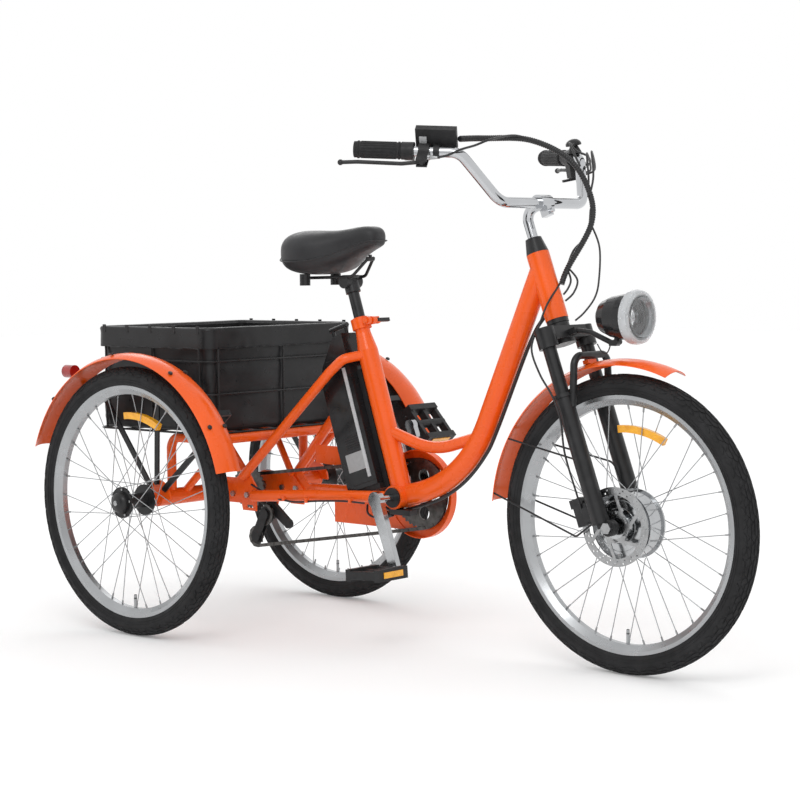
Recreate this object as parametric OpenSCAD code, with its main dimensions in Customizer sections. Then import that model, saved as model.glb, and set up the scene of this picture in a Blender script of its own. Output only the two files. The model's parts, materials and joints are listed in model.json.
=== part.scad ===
// Adult electric tricycle with a rear cargo basket, in millimetres.
// +X is forward, +Y is the rider's left, +Z is up. The wheels stand on z = 0.
// Parts are drawn from the rear axle line and moved so the whole is centred on the origin.

/* [Overall] */
// Distance between the front and rear axles
wheelbase = 1122; // [1000:2:1350]
// Distance between the middles of the rear tyres
track = 664; // [560:2:800]
// Outside diameter of the tyres
tyre_d = 608; // [500:2:730]
// Width of the tyres
tyre_w = 50; // [38:1:60]

/* [Frame] */
// Lean of the steering axis from vertical, degrees
head_tilt = 20; // [12:0.5:26]
// Distance of the front axle ahead of the steering axis
fork_offset = 24; // [10:1:60]
// Length of the head tube
head_len = 144; // [110:1:180]
// Diameter of the head tube
head_d = 48; // [42:1:54]
// Diameter of the down tube
down_d = 47; // [36:1:57]
// Diameter of the seat tube
seat_tube_d = 46; // [38:1:55]
// Diameter of the step-through brace
brace_d = 26; // [18:1:32]
// Diameter of the chain stays
stay_d = 26; // [18:1:30]
// Diameter of the seat stays
upper_stay_d = 22; // [14:1:26]
// Lean of the seat tube from vertical, degrees
seat_tilt = 17.8; // [12:0.1:22]
// Length of the seat tube above the cranks
seat_tube_len = 411; // [350:1:500]

/* [Wheels] */
// Depth of the rims
rim_depth = 20; // [12:1:26]
// Width of the rims
rim_w = 34; // [24:1:38]
// Number of spokes in a wheel, a multiple of four
spokes = 36; // [20:4:48]
// Diameter of the spokes
spoke_d = 2; // [1.6:0.1:2.6]
// Diameter of the front hub motor
motor_d = 142; // [110:1:180]
// Diameter of the brake disc
disc_d = 160; // [140:1:180]

/* [Drive] */
// Teeth on the chainring
ring_teeth = 38; // [30:1:44]
// Teeth on the sprocket the chain runs on
cog_teeth = 14; // [12:1:18]
// Length of the crank arms
crank_len = 158; // [130:1:175]
// Distance of the chain from the middle plane
chain_line = 54; // [50:0.5:58]

/* [Cargo] */
// Length of the basket
basket_len = 380; // [320:5:460]
// Width of the basket
basket_w = 470; // [380:5:480]
// Height of the basket
basket_h = 232; // [150:2:300]

/* [Rider] */
// Diameter of the seatpost
post_d = 25.4; // [22:0.1:31]
// Diameter of the handlebar
bar_d = 22.2; // [20:0.1:25]
// Half the width of the handlebar at the grip ends
bar_half = 310; // [260:2:360]
// Travel of the front suspension
fork_travel = 24; // [12:1:26]

/* [Hidden] */
$fn = 48;
orange = [0.95, 0.35, 0.13];
black = [0.06, 0.06, 0.065];
grey = [0.2, 0.2, 0.21];
silver = [0.74, 0.75, 0.76];
chrome = [0.85, 0.86, 0.88];
amber = [0.95, 0.6, 0.1];
red = [0.7, 0.05, 0.05];

fit = 0.05;                  // radial clearance of a running fit
gap = 0.5;                   // clearance between faces that pass each other
tyre_r = tyre_d / 2;
axle_z = tyre_r;
half_track = track / 2;
section_r = tyre_w / 2;
rim_r = tyre_r - 42;         // radius on which the tyre beads sit
rim_in = rim_r - rim_depth;

// steering frame: origin on the steering axis at the height of the axles
steer_x = wheelbase - fork_offset / cos(head_tilt);
axle_lx = fork_offset;
axle_lz = -fork_offset * tan(head_tilt);
crown_top = tyre_r + 112;
crown_low = crown_top - 34;
head_low = crown_top + 20;
head_top = head_low + head_len;
leg_lx = 8;
leg_y = max(64, section_r + 39);
stanchion_r = 14;
lower_r = 18;
lower_top = tyre_r - 28;
steerer_r = 14.3;
stanchion_low = lower_top - 130;

// frame positions
bb_x = 520;
bb_z = axle_z + 16;
plate_y = 76;                // inner face of the two rear plates
plate_t = 4;
hoop_y = 215;
hoop_x = 150;
hoop_z = axle_z + 137;
hoop_d = 22;
housing_r = 19;
housing_end = half_track - 70;
shaft_r = 10;
bolt_x = [66, 112];
bolt_z = axle_z - 1;

// hub of a rear wheel
flange_r = 35;
flange_y = 33;

// mudguards
guard_in = tyre_r + 29;
guard_t = 1.6;
guard_w = tyre_w + 20;

// drive train
pitch = 12.7;
ring_r = ring_teeth * pitch / (2 * PI);
cog_r = cog_teeth * pitch / (2 * PI);
jockey_teeth = 11;
jockey_r = jockey_teeth * pitch / (2 * PI);
tooth_drop = 4.8;            // the sprockets are drawn this far inside the chain
chain_h = 8;
chain_w = 6.6;
jockey_up = [30, axle_z - 66];
jockey_low = [0, axle_z - 122];

// basket
wire_d = 5;
rim_wire_d = 7;
basket_x = 150 - basket_len; // rear face
basket_z = hoop_z + hoop_d / 2 + wire_d / 2;
basket_top = basket_z + basket_h;

// handlebar, in the steering frame
bar_lx = 48;
bar_lz = head_top + 93;
bend_lx = 32;
bend_lz = head_top + 205;
bend_y = 200;
grip_lx = -132;
grip_lz = head_top + 276;
bar_r = bar_d / 2;

// battery, in the seat tube frame
dock_x = seat_tube_d / 2 + 13;
battery_half = 33;

x_mid = (wheelbase + tyre_r - (guard_in + guard_t) * cos(20)) / 2;

// front wheel
motor_r = motor_d / 2;
motor_y0 = -26;
motor_y1 = 34;
axle_r = 7;
disc_y = -43;

// frame tubes
down_bend = 290;
down_top = from_steer(-2, head_top - 34);
down_corner = [bb_x + 182, 0, bb_z + 42];
down_end = [bb_x - 4, 0, bb_z];
stay_back = [150, 0, axle_z - 1];

// mudguard edge and struts
guard_edge = guard_in - 60 + sqrt(3600 - pow(guard_w / 2, 2));  // inner radius at its edge
strut_y = housing_end - 2;   // outer face of the brackets that carry the struts

// cranks, with the direction of the left one from +x in degrees
crank_turn = 110;
arm_y0 = 82;
arm_y1 = 96;
pedal_y0 = 104;
pedal_y1 = 196;

// directions, seen from the wheel centres, in which the chain leaves each wheel
ring_c = [bb_x, bb_z];
cog_c = [0, axle_z];
top_a = lean(cog_c, ring_c) + 90 + asin((ring_r - cog_r) / norm(ring_c - cog_c));
low_a = lean(jockey_low, ring_c) - 90 - asin((ring_r - jockey_r) / norm(ring_c - jockey_low));
mid_a = lean(jockey_low, jockey_up) + acos(2 * jockey_r / norm(jockey_up - jockey_low));
cog_a = lean(jockey_up, cog_c) - acos((jockey_r + cog_r) / norm(cog_c - jockey_up));

// saddle
seat_rise = 85;              // from the top of the seat tube to the saddle clamp
saddle_x = bb_x - (seat_tube_len + seat_rise) * sin(seat_tilt);
saddle_z = bb_z + (seat_tube_len + seat_rise) * cos(seat_tilt);

// grip frame on the right side: z runs inward along the bar from its end,
// x points forward and out, y points down
bar_pts = [[grip_lx, -bar_half, grip_lz], [bend_lx, -bend_y, bend_lz], [bar_lx, -138, bar_lz]];
grip_e = unit(bar_pts[1] - bar_pts[0]);
grip_n = unit([grip_e[1], -grip_e[0], 0]);
grip_d = cross(grip_e, grip_n);
lever_z = 140;
lever_drop = 45;             // levers turned down about the bar, in degrees
display_tilt = 45;           // screen leaned back to the rider, in degrees

// headlamp, from the pivot under it
lamp_p = from_steer(128, crown_top - 72);
lamp_z = lamp_p[2] + 50;
lamp_x = lamp_p[0] - 42;

// centre and ends of the down tube's sweep, for the loom that follows its underside
down_u = unit(down_corner - down_top);
down_v = unit(down_end - down_corner);
down_in = unit(down_v - down_u * (down_u * down_v));
down_cut = down_bend * tan(acos(down_u * down_v) / 2);
sweep_c = down_corner - down_u * down_cut + down_in * down_bend;
loom_r = down_bend + down_d / 2 + 6;
sweep_a = -down_in;
sweep_b = unit(down_corner + down_v * down_cut - sweep_c);

loom_pts = concat(
    [down_top + [0, 20, 0] + 90 * down_u - 34 * down_in,
        down_top + [0, 6, 0] + 150 * down_u - 30 * down_in],
    [for (t = [0:0.25:1]) sweep_c + loom_r * unit(sweep_a * (1 - t) + sweep_b * t)],
    [[bb_x - 30, 10, bb_z - 36], [bb_x - 90, 24, bb_z - 30]]);

// loom from the display over to the head tube, in the steering frame
bar_loom_pts = [
    [34.8, -190.8, bend_lz + 28.4],
    [34, -110, bend_lz + 33],
    [62, 0, bend_lz + 22],
    [88, 78, bend_lz - 28],
    [100, 98, bend_lz - 104],
    [92, 82, head_top + 30],
    [42, 30, head_top - 46],
    [25.5, 15, head_top - 76]
];

// ---------------------------------------------------------------- helpers

function unit(v) = v / norm(v);

// Moves a part from the rear axle line to the centred frame
module home() {
    translate([-x_mid, 0, 0]) children();
}

// Steering frame: local z runs up the steering axis
module steering() {
    home() translate([steer_x, 0, axle_z]) rotate([0, -head_tilt, 0]) children();
}

// Seat tube frame: local z runs up the seat tube from the cranks
module seat_frame() {
    home() translate([bb_x, 0, bb_z]) rotate([0, -seat_tilt, 0]) children();
}

module both() {
    children();
    mirror([0, 1, 0]) children();
}

// Cylinder from point p to point q
module rod(p, q, d, fn = 48) {
    v = q - p;
    translate(p)
        rotate([0, acos(v[2] / norm(v)), atan2(v[1], v[0])])
            cylinder(d = d, h = norm(v), $fn = fn);
}

// Round bar through a list of points with bends of radius br. The bends are a hair
// thicker than the straight pieces, which run half a millimetre into them.
module bent_bar(pts, br, d) {
    n = len(pts);
    dir = [for (i = [0:n - 2]) unit(pts[i + 1] - pts[i])];
    turn = [for (i = [0:n - 1]) (i == 0 || i == n - 1) ? 0 : acos(dir[i - 1] * dir[i])];
    cut = [for (i = [0:n - 1]) max(0, br * tan(turn[i] / 2) - 0.5)];
    for (i = [0:n - 2]) {
        rod(pts[i] + dir[i] * cut[i], pts[i + 1] - dir[i] * cut[i + 1], d);
    }
    for (i = [1:n - 2]) {
        u = dir[i - 1];
        axis = unit(cross(u, dir[i]));
        out = cross(u, axis);
        c = pts[i] - u * (cut[i] + 0.5) - out * br;
        multmatrix([
            [out[0], u[0], axis[0], c[0]],
            [out[1], u[1], axis[1], c[1]],
            [out[2], u[2], axis[2], c[2]],
            [0, 0, 0, 1]
        ])
            rotate_extrude(angle = turn[i])
                translate([br, 0]) circle(d = d + 0.12);
    }
}

// Cable swept along points as one closed mesh
module cable(pts, d, sides = 8) {
    n = len(pts);
    dir = [for (i = [0:n - 1]) unit(pts[min(i + 1, n - 1)] - pts[max(i - 1, 0)])];
    side = [for (i = [0:n - 1]) unit(cross(dir[i], [0.31, 0.83, 0.46]))];
    ring = [for (i = [0:n - 1]) for (k = [0:sides - 1])
        pts[i] + d / 2 * (cos(360 * k / sides) * side[i]
            + sin(360 * k / sides) * cross(dir[i], side[i]))];
    walls = [for (i = [0:n - 2]) for (k = [0:sides - 1])
        [i * sides + k, (i + 1) * sides + k,
            (i + 1) * sides + (k + 1) % sides, i * sides + (k + 1) % sides]];
    first = [for (k = [0:sides - 1]) k];
    last = [for (k = [0:sides - 1]) n * sides - 1 - k];
    polyhedron(points = ring, faces = concat(walls, [first], [last]));
}

// Smooth curve through hand-placed points, with a number of steps per span
function curve(p, steps) = concat(
    [for (i = [0:len(p) - 2]) for (s = [0:steps - 1])
        let (t = s / steps,
            a = p[max(i - 1, 0)], b = p[i], c = p[i + 1], d = p[min(i + 2, len(p) - 1)])
        0.5 * ((2 * b) + (c - a) * t + (2 * a - 5 * b + 4 * c - d) * t * t
            + (3 * b - a - 3 * c + d) * t * t * t)],
    [p[len(p) - 1]]);

// Disc or ring with its axis along y, from y0 to y1
module y_ring(r, y0, y1, bore = 0) {
    translate([0, y1, 0]) rotate([90, 0, 0]) difference() {
        cylinder(r = r, h = y1 - y0);
        if (bore > 0) translate([0, 0, -1]) cylinder(r = bore, h = y1 - y0 + 2);
    }
}

// Flat outline in x and z, standing between y0 and y1
module side_plate(y0, y1) {
    translate([0, y1, 0]) rotate([90, 0, 0]) linear_extrude(y1 - y0) children();
}

// ------------------------------------------------------------------ wheels

module tyre_shape() {
    rotate([90, 0, 0]) rotate_extrude($fn = 96) intersection() {
        difference() {
            translate([tyre_r - section_r, 0]) circle(r = section_r);
            translate([tyre_r - section_r, 0]) circle(r = section_r - 4);
        }
        translate([rim_r, -tyre_w]) square([tyre_r, 2 * tyre_w]);
    }
}

module rim_shape() {
    rotate([90, 0, 0]) rotate_extrude($fn = 96) polygon([
        [rim_r, -rim_w / 2], [rim_r, rim_w / 2],
        [rim_r - 8, rim_w / 2], [rim_in, rim_w / 5],
        [rim_in, -rim_w / 5], [rim_r - 8, -rim_w / 2]
    ]);
}

// Crossed spokes from two flanges at y0 and y1 out to the rim
module spoke_set(start_r, y0, y1, sweep) {
    step = 720 / spokes;
    for (k = [0:spokes / 4 - 1]) for (f = [0, 1]) for (s = [-1, 1]) {
        a = 2 * k * step + f * step / 2 + (s > 0 ? step : 0);
        b = a + s * sweep;
        y = (f == 0 ? y0 : y1) + s * 1.6;
        rod([start_r * cos(a), y, start_r * sin(a)],
            [(rim_in + 1) * cos(b), f == 0 ? -2.5 : 2.5, (rim_in + 1) * sin(b)],
            spoke_d, 24);
    }
}

module valve_stem() {
    translate([0, 0, -rim_in - 1]) cylinder(d = 7, h = 30);
}

module reflector_shape(half) {
    rotate([90, 0, 0]) rotate([0, 0, 62]) rotate_extrude(angle = 34)
        translate([tyre_r - 118, -half]) square([15, 2 * half]);
}

module rear_hub_shape() {
    difference() {
        union() {
            y_ring(17, -flange_y - 1, flange_y + 1);
            y_ring(flange_r, -flange_y - 2, -flange_y + 2);
            y_ring(flange_r, flange_y - 2, flange_y + 2);
            y_ring(25, -flange_y - 8, -flange_y - 2);
        }
        y_ring(shaft_r + fit, -flange_y - 4, flange_y + 10);
    }
}

module at_right_wheel() {
    home() translate([0, -half_track, axle_z]) children();
}

module at_left_wheel() {
    home() translate([0, half_track, axle_z]) mirror([0, 1, 0]) children();
}

module at_front_wheel() {
    home() translate([wheelbase, 0, axle_z]) children();
}

module front_tyre() {
    color(black) at_front_wheel() tyre_shape();
}

module right_tyre() {
    color(black) at_right_wheel() tyre_shape();
}

module left_tyre() {
    color(black) at_left_wheel() tyre_shape();
}

module front_wheel_metal() {
    color(silver) at_front_wheel() {
        rim_shape();
        spoke_set(motor_r + spoke_d / 2 + 0.2, motor_y0 + 6, motor_y1 - 6, 720 / spokes);
        valve_stem();
    }
}

module rear_wheel_metal_shape() {
    rim_shape();
    spoke_set(flange_r + spoke_d / 2 + 0.2, -flange_y, flange_y, 3 * 720 / spokes);
    valve_stem();
}

module right_wheel_metal() {
    color(silver) at_right_wheel() rear_wheel_metal_shape();
}

module left_wheel_metal() {
    color(silver) at_left_wheel() rear_wheel_metal_shape();
}

module right_hub() {
    color(black) at_right_wheel() rear_hub_shape();
}

module left_hub() {
    color(black) at_left_wheel() rear_hub_shape();
}

module front_reflector() {
    color(amber) at_front_wheel() reflector_shape(5.1);
}

module right_reflector() {
    color(amber) at_right_wheel() reflector_shape(6.6);
}

module left_reflector() {
    color(amber) at_left_wheel() reflector_shape(6.6);
}

module front_hub_motor() {
    color(silver) at_front_wheel() difference() {
        union() {
            y_ring(motor_r - 4, motor_y0, motor_y1);
            y_ring(motor_r, motor_y0 + 4, motor_y0 + 8);
            y_ring(motor_r, motor_y1 - 8, motor_y1 - 4);
            y_ring(24, disc_y - 1, motor_y0);
            y_ring(22, motor_y1, motor_y1 + 12);
        }
        y_ring(axle_r + fit, disc_y - 5, motor_y1 + 20);
    }
}

module brake_disc() {
    disc_r = disc_d / 2;
    color(silver) at_front_wheel() side_plate(disc_y - 1, disc_y + 1) difference() {
        union() {
            difference() {
                circle(r = disc_r, $fn = 96);
                circle(r = disc_r - 16, $fn = 96);
            }
            difference() {
                circle(r = 33);
                circle(r = 24);
            }
            for (a = [0:60:300]) rotate(a + 18) translate([disc_r - 35, 0]) rotate(35)
                square([44, 7], center = true);
            for (a = [0:60:300]) rotate(a + 8) translate([34, 0]) rotate(-30)
                square([18, 7], center = true);
        }
        for (a = [0:15:345]) rotate(a) translate([disc_r - 5, 0]) circle(d = 4, $fn = 16);
        for (a = [0:15:345]) rotate(a + 5) translate([disc_r - 11, 0]) circle(d = 4, $fn = 16);
        for (a = [0:60:300]) rotate(a + 40) translate([29, 0]) circle(d = 4, $fn = 16);
    }
}

// ------------------------------------------------------------------- frame

// Point of the steering frame as a point of the frame
function from_steer(lx, lz) = [
    steer_x + lx * cos(head_tilt) - lz * sin(head_tilt), 0,
    axle_z + lx * sin(head_tilt) + lz * cos(head_tilt)];

// Point up the seat tube, lx ahead of its axis
function from_seat(lx, lz) = [
    bb_x + lx * cos(seat_tilt) - lz * sin(seat_tilt), 0,
    bb_z + lx * sin(seat_tilt) + lz * cos(seat_tilt)];

module frame_tubes() {
    // head tube
    translate([steer_x, 0, axle_z]) rotate([0, -head_tilt, 0]) translate([0, 0, head_low])
        cylinder(d = head_d, h = head_len);
    // down tube, sweeping to the cranks
    bent_bar([down_top, down_corner, down_end], down_bend, down_d);
    // brace between seat tube and down tube
    bent_bar([from_seat(0, 152), [bb_x + 88, 0, bb_z + 105],
        [bb_x + 214, 0, bb_z + 140]], 200, brace_d);
    // seat tube, narrowing to the collar
    translate([bb_x, 0, bb_z]) rotate([0, -seat_tilt, 0]) {
        cylinder(d = seat_tube_d, h = seat_tube_len - 76);
        translate([0, 0, seat_tube_len - 76])
            cylinder(d1 = seat_tube_d, d2 = post_d + 8, h = 40);
        translate([0, 0, seat_tube_len - 36]) cylinder(d = post_d + 8, h = 36);
    }
    // crank shell
    translate([bb_x, 0, bb_z]) y_ring(26, -36, 36);
    both() {
        // chain stay with its flat end
        bent_bar([[bb_x - 12, -31, bb_z], [300, -56, axle_z + 8],
            [stay_back[0] - 10, -plate_y - plate_t - stay_d / 2 - 1, stay_back[2]]], 90, stay_d);
        side_plate(-plate_y - plate_t - 4.5, -plate_y - plate_t) polygon([
            [bolt_x[0] - 10, bolt_z - 13], [bolt_x[0] - 10, bolt_z + 13],
            [84, axle_z + 44], [122, axle_z + 44], [146, bolt_z + 13], [166, bolt_z + 12],
            [166, bolt_z - 12], [bolt_x[0] - 4, bolt_z - 13]
        ]);
        // seat stay, round the battery and down to the flat end
        bent_bar([from_seat(0, seat_tube_len - 84) + [0, -8, 0],
            from_seat(-32, seat_tube_len - 84) + [0, -52, 0],
            from_seat(-75, seat_tube_len - 102) + [0, -58, 0],
            [104, -plate_y - 16, axle_z + 40]], 24, upper_stay_d);
    }
}

module main_frame() {
    color(orange) home() difference() {
        frame_tubes();
        translate([steer_x, 0, axle_z]) rotate([0, -head_tilt, 0])
            translate([0, 0, head_low - 1]) cylinder(r = 16.5, h = head_len + 2);
        translate([bb_x, 0, bb_z]) rotate([0, -seat_tilt, 0]) translate([0, 0, 150])
            cylinder(r = post_d / 2 + fit, h = seat_tube_len);
        translate([bb_x, 0, bb_z]) y_ring(19, -60, 60);
        translate([bb_x, 0, bb_z]) both() y_ring(22 + gap, -60, -36);
        for (x = bolt_x) both() translate([x, -plate_y, bolt_z]) y_ring(4.2, -20, 10);
    }
}

module rear_plate() {
    side_plate(-plate_y - plate_t, -plate_y) difference() {
        polygon([[-30, axle_z - 22], [-30, axle_z + 22], [0, axle_z + 36], [96, axle_z + 36],
            [135, axle_z - 2], [135, axle_z - 38], [92, axle_z - 38], [88, axle_z - 22]]);
        translate([114, axle_z - 28]) square([22, 7], center = true);
    }
}

module rear_frame() {
    color(orange) home() difference() {
        union() {
            both() {
                translate([0, 0, axle_z]) y_ring(housing_r, -housing_end, -plate_y);
                rear_plate();
                // bracket that carries the mudguard struts
                translate([0, 0, axle_z]) intersection() {
                    y_ring(42, -housing_end + 2, -housing_end + 7);
                    translate([-50, -half_track, 0]) cube([100, half_track, 60]);
                }
                rod([6, -180, axle_z + 10], [hoop_x, -180, hoop_z], 18);
                rod([30, -84, hoop_z], [106, -plate_y + 7, axle_z + 32], 16);
            }
            bent_bar([[0, -hoop_y, axle_z], [0, -hoop_y, hoop_z], [hoop_x, -hoop_y, hoop_z],
                [hoop_x, hoop_y, hoop_z], [0, hoop_y, hoop_z], [0, hoop_y, axle_z]], 28, hoop_d);
            rod([36, -hoop_y, hoop_z], [36, hoop_y, hoop_z], 20);
            // fixed stub that the right wheel turns on
            translate([0, 0, axle_z]) y_ring(shaft_r, -half_track - flange_y, -housing_end + 1);
            // hanger for the derailleur
            side_plate(plate_y, plate_y + plate_t) polygon([[18, axle_z - 22],
                [54, axle_z - 22], [44, axle_z - 56], [26, axle_z - 56]]);
        }
        translate([0, 0, axle_z]) y_ring(shaft_r + 1, 0, housing_end + 1);
        translate([0, 0, axle_z]) y_ring(shaft_r + 1, -housing_end + 40, 0);
        for (x = bolt_x) both() translate([x, -plate_y, bolt_z]) y_ring(4.2, -20, 10);
    }
}

module frame_bolts() {
    color(silver) home() for (x = bolt_x) both() translate([x, 0, bolt_z]) {
        y_ring(4, -plate_y - plate_t - 4.5, -plate_y);
        translate([0, -plate_y - plate_t - 4.5, 0]) rotate([90, 0, 0])
            cylinder(r = 7, h = 5, $fn = 6);
        translate([0, -plate_y + 6, 0]) rotate([90, 0, 0]) cylinder(r = 7, h = 6, $fn = 6);
    }
}

module bearing_cups() {
    color(grey) {
        steering() {
            difference() {
                union() {
                    translate([0, 0, head_low - 9]) cylinder(r = head_d / 2 - 1, h = 9);
                    translate([0, 0, head_low]) cylinder(r = 16.5, h = 20);
                }
                translate([0, 0, head_low - 20]) cylinder(r = steerer_r + fit, h = 60);
            }
            difference() {
                union() {
                    translate([0, 0, head_top - 20]) cylinder(r = 16.5, h = 20);
                    translate([0, 0, head_top]) cylinder(r1 = head_d / 2, r2 = 17, h = 33);
                }
                translate([0, 0, head_top - 40]) cylinder(r = steerer_r + fit, h = 60);
                translate([0, 0, head_top + 10]) cylinder(r = 12, h = 60);
            }
        }
        home() translate([bb_x, 0, bb_z]) both() difference() {
            union() {
                y_ring(19, -36, -14);
                y_ring(22, -40, -36);
            }
            y_ring(8.5 + fit, -50, 0);
        }
        // bearings at the two ends of the driven axle tube
        home() translate([0, 0, axle_z]) {
            y_ring(shaft_r + 1, housing_end - 14, housing_end, shaft_r + fit);
            y_ring(shaft_r + 1, plate_y + 1, plate_y + 15, shaft_r + fit);
        }
    }
}

module seat_clamp() {
    color(orange) seat_frame() translate([0, 0, seat_tube_len - 26]) {
        difference() {
            union() {
                cylinder(r = post_d / 2 + 9, h = 24);
                translate([28, 0, 12]) {
                    y_ring(9, -13, -3);
                    y_ring(9, 3, 13);
                }
                translate([16, 3, 4]) cube([12, 8, 16]);
                translate([16, -11, 4]) cube([12, 8, 16]);
            }
            translate([0, 0, -1]) cylinder(r = post_d / 2 + 4, h = 40);
        }
        // through bolt, and the ears and pin that carry the lever
        translate([28, 0, 12]) {
            y_ring(3, -19, 18);
            y_ring(6, -19, -13);
            y_ring(7, 13, 18);
            for (z = [-7.5, 4.5]) translate([-4, 17, z]) cube([8, 11, 3]);
            translate([0, 24, -7.5]) cylinder(r = 2.5, h = 15);
        }
    }
}

// ----------------------------------------------------------- rear mudguards

module guard_shape(from, to) {
    rotate([90, 0, 0]) rotate([0, 0, from]) rotate_extrude(angle = to - from, $fn = 96)
        difference() {
            intersection() {
                translate([guard_in - 60, 0]) circle(r = 60 + guard_t);
                translate([guard_in - 18, -guard_w / 2]) square([40, guard_w]);
            }
            translate([guard_in - 60, 0]) circle(r = 60);
        }
}

module rear_mudguards() {
    color(orange) {
        at_right_wheel() guard_shape(15, 160);
        at_left_wheel() guard_shape(15, 160);
    }
}

// Flat bar from the axle bracket out to the mudguard, at an angle in the wheel plane
module guard_strut(a) {
    r0 = 32;
    rotate([0, -a, 0]) translate([r0, -strut_y - 4, -7])
        cube([guard_edge - r0 - 4, 4, 14]);
    rotate([0, -a, 0]) translate([guard_edge - 5.1, -half_track + guard_w / 2 - 12, -7])
        cube([5, half_track - guard_w / 2 - strut_y + 12, 14]);
}

module mudguard_struts() {
    color(black) home() translate([0, 0, axle_z]) both() {
        for (a = [40, 88, 128]) guard_strut(a);
        // bolts that hold the struts on the bracket
        for (a = [40, 88, 128]) rotate([0, -a, 0]) translate([36, 0, 0])
            y_ring(5, -strut_y - 7, -strut_y - 4);
    }
}

module tail_lamps() {
    color(red) {
        for (s = [0, 1]) home() mirror([0, s, 0]) translate([0, -half_track, axle_z])
            rotate([0, -126, 0]) translate([guard_in + guard_t, 0, 0]) {
                rotate([0, 90, 0]) cylinder(r = 5, h = 14);
                translate([20, 0, 0]) rotate([0, 126, 0]) rotate([0, -90, 0])
                    translate([0, 0, -12]) cylinder(r = 15, h = 30);
            }
    }
}

// -------------------------------------------------------------------- cargo

module wire_loop(z, inset, d) {
    x0 = basket_x + inset;
    x1 = basket_x + basket_len - inset;
    y = basket_w / 2 - inset;
    r = 24;
    translate([0, 0, z]) {
        for (s = [-1, 1]) rod([x0 + r, s * y, 0], [x1 - r, s * y, 0], d, 24);
        rod([x0, r - y, 0], [x0, y - r, 0], d, 24);
        rod([x1, r - y, 0], [x1, y - r, 0], d, 24);
        translate([x1 - r, y - r, 0]) wire_corner(0, r, d);
        translate([x0 + r, y - r, 0]) wire_corner(90, r, d);
        translate([x0 + r, r - y, 0]) wire_corner(180, r, d);
        translate([x1 - r, r - y, 0]) wire_corner(270, r, d);
    }
}

module wire_corner(a, r, d) {
    rotate([0, 0, a]) rotate_extrude(angle = 90) translate([r, 0]) circle(d = d, $fn = 24);
}

module basket_frame() {
    x1 = basket_x + basket_len;
    y = basket_w / 2;
    color(black) home() {
        wire_loop(basket_z, 0, wire_d);
        wire_loop(basket_z + basket_h * 0.38, 0, wire_d);
        wire_loop(basket_z + basket_h * 0.7, 0, wire_d);
        wire_loop(basket_top, 0, rim_wire_d);
        for (x = [basket_x + 30, basket_x + basket_len / 2, x1 - 30]) for (s = [-1, 1])
            rod([x, s * y, basket_z], [x, s * y, basket_top], wire_d, 24);
        for (x = [basket_x, x1]) for (yy = [30 - y, 0, y - 30])
            rod([x, yy, basket_z], [x, yy, basket_top], wire_d, 24);
        // floor wires
        for (k = [1:7]) rod([basket_x, -y + k * basket_w / 8, basket_z],
            [x1, -y + k * basket_w / 8, basket_z], wire_d - 1, 24);
        for (k = [1:3]) rod([basket_x + k * basket_len / 4, -y, basket_z],
            [basket_x + k * basket_len / 4, y, basket_z], wire_d, 24);
    }
}

module rounded_box(inset, h) {
    r = 20;
    linear_extrude(h) translate([basket_x + basket_len / 2, 0]) offset(r = r)
        square([basket_len - 2 * inset - 2 * r, basket_w - 2 * inset - 2 * r], center = true);
}

module basket_liner() {
    inset = rim_wire_d / 2 + gap;
    color([0.09, 0.09, 0.09]) home() difference() {
        translate([0, 0, basket_z + wire_d / 2]) rounded_box(inset, basket_h);
        translate([0, 0, basket_z + wire_d / 2 + 3]) rounded_box(inset + 3, basket_h);
    }
}

// ------------------------------------------------------------------ battery

module battery_dock() {
    color(black) seat_frame() {
        difference() {
            translate([-dock_x, -12, 30]) cube([13, 24, 270]);
            translate([0, 0, 20]) cylinder(d = seat_tube_d, h = 300);
        }
        translate([-dock_x - 90, -battery_half + 4, 30])
            cube([91, 2 * battery_half - 8, 12]);
    }
}

module battery_case() {
    color(black) seat_frame() {
        side_plate(-battery_half, battery_half) polygon([
            [-dock_x - gap, 42], [-dock_x - 88, 42], [-dock_x - 94, 50],
            [-dock_x - 94, 300], [-dock_x - 80, 330], [-dock_x - 30, 385],
            [-dock_x - gap, 388]
        ]);
        // carrying handle over the top
        rod([-dock_x - 52, 0, 350], [-dock_x - 52, 0, 408], 8);
        rod([-dock_x - 12, 0, 370], [-dock_x - 12, 0, 408], 8);
        rod([-dock_x - 60, 0, 409], [-dock_x - 6, 0, 409], 11);
    }
}

module battery_trim() {
    color(silver) seat_frame() for (y = [-battery_half - 2, battery_half])
        translate([-dock_x - 22, y, 62]) cube([9, 2, 250]);
}

// -------------------------------------------------------------- drive train

module chainring() {
    y0 = chain_line - 1.5;
    color(black) home() translate([bb_x, 0, bb_z]) {
        side_plate(y0, y0 + 3) difference() {
            circle(r = ring_r - tooth_drop, $fn = 96);
            for (a = [0:72:288]) rotate(a) translate([44, 0]) circle(r = 15);
            circle(r = 14);
        }
    }
}

module crank_arm_shape(y0, y1) {
    side_plate(y0, y1) {
        translate([-crank_len, 0]) circle(r = 13);
        circle(r = 18);
        polygon([[0, 15], [0, -15], [-crank_len, -11], [-crank_len, 11]]);
    }
}

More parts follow.
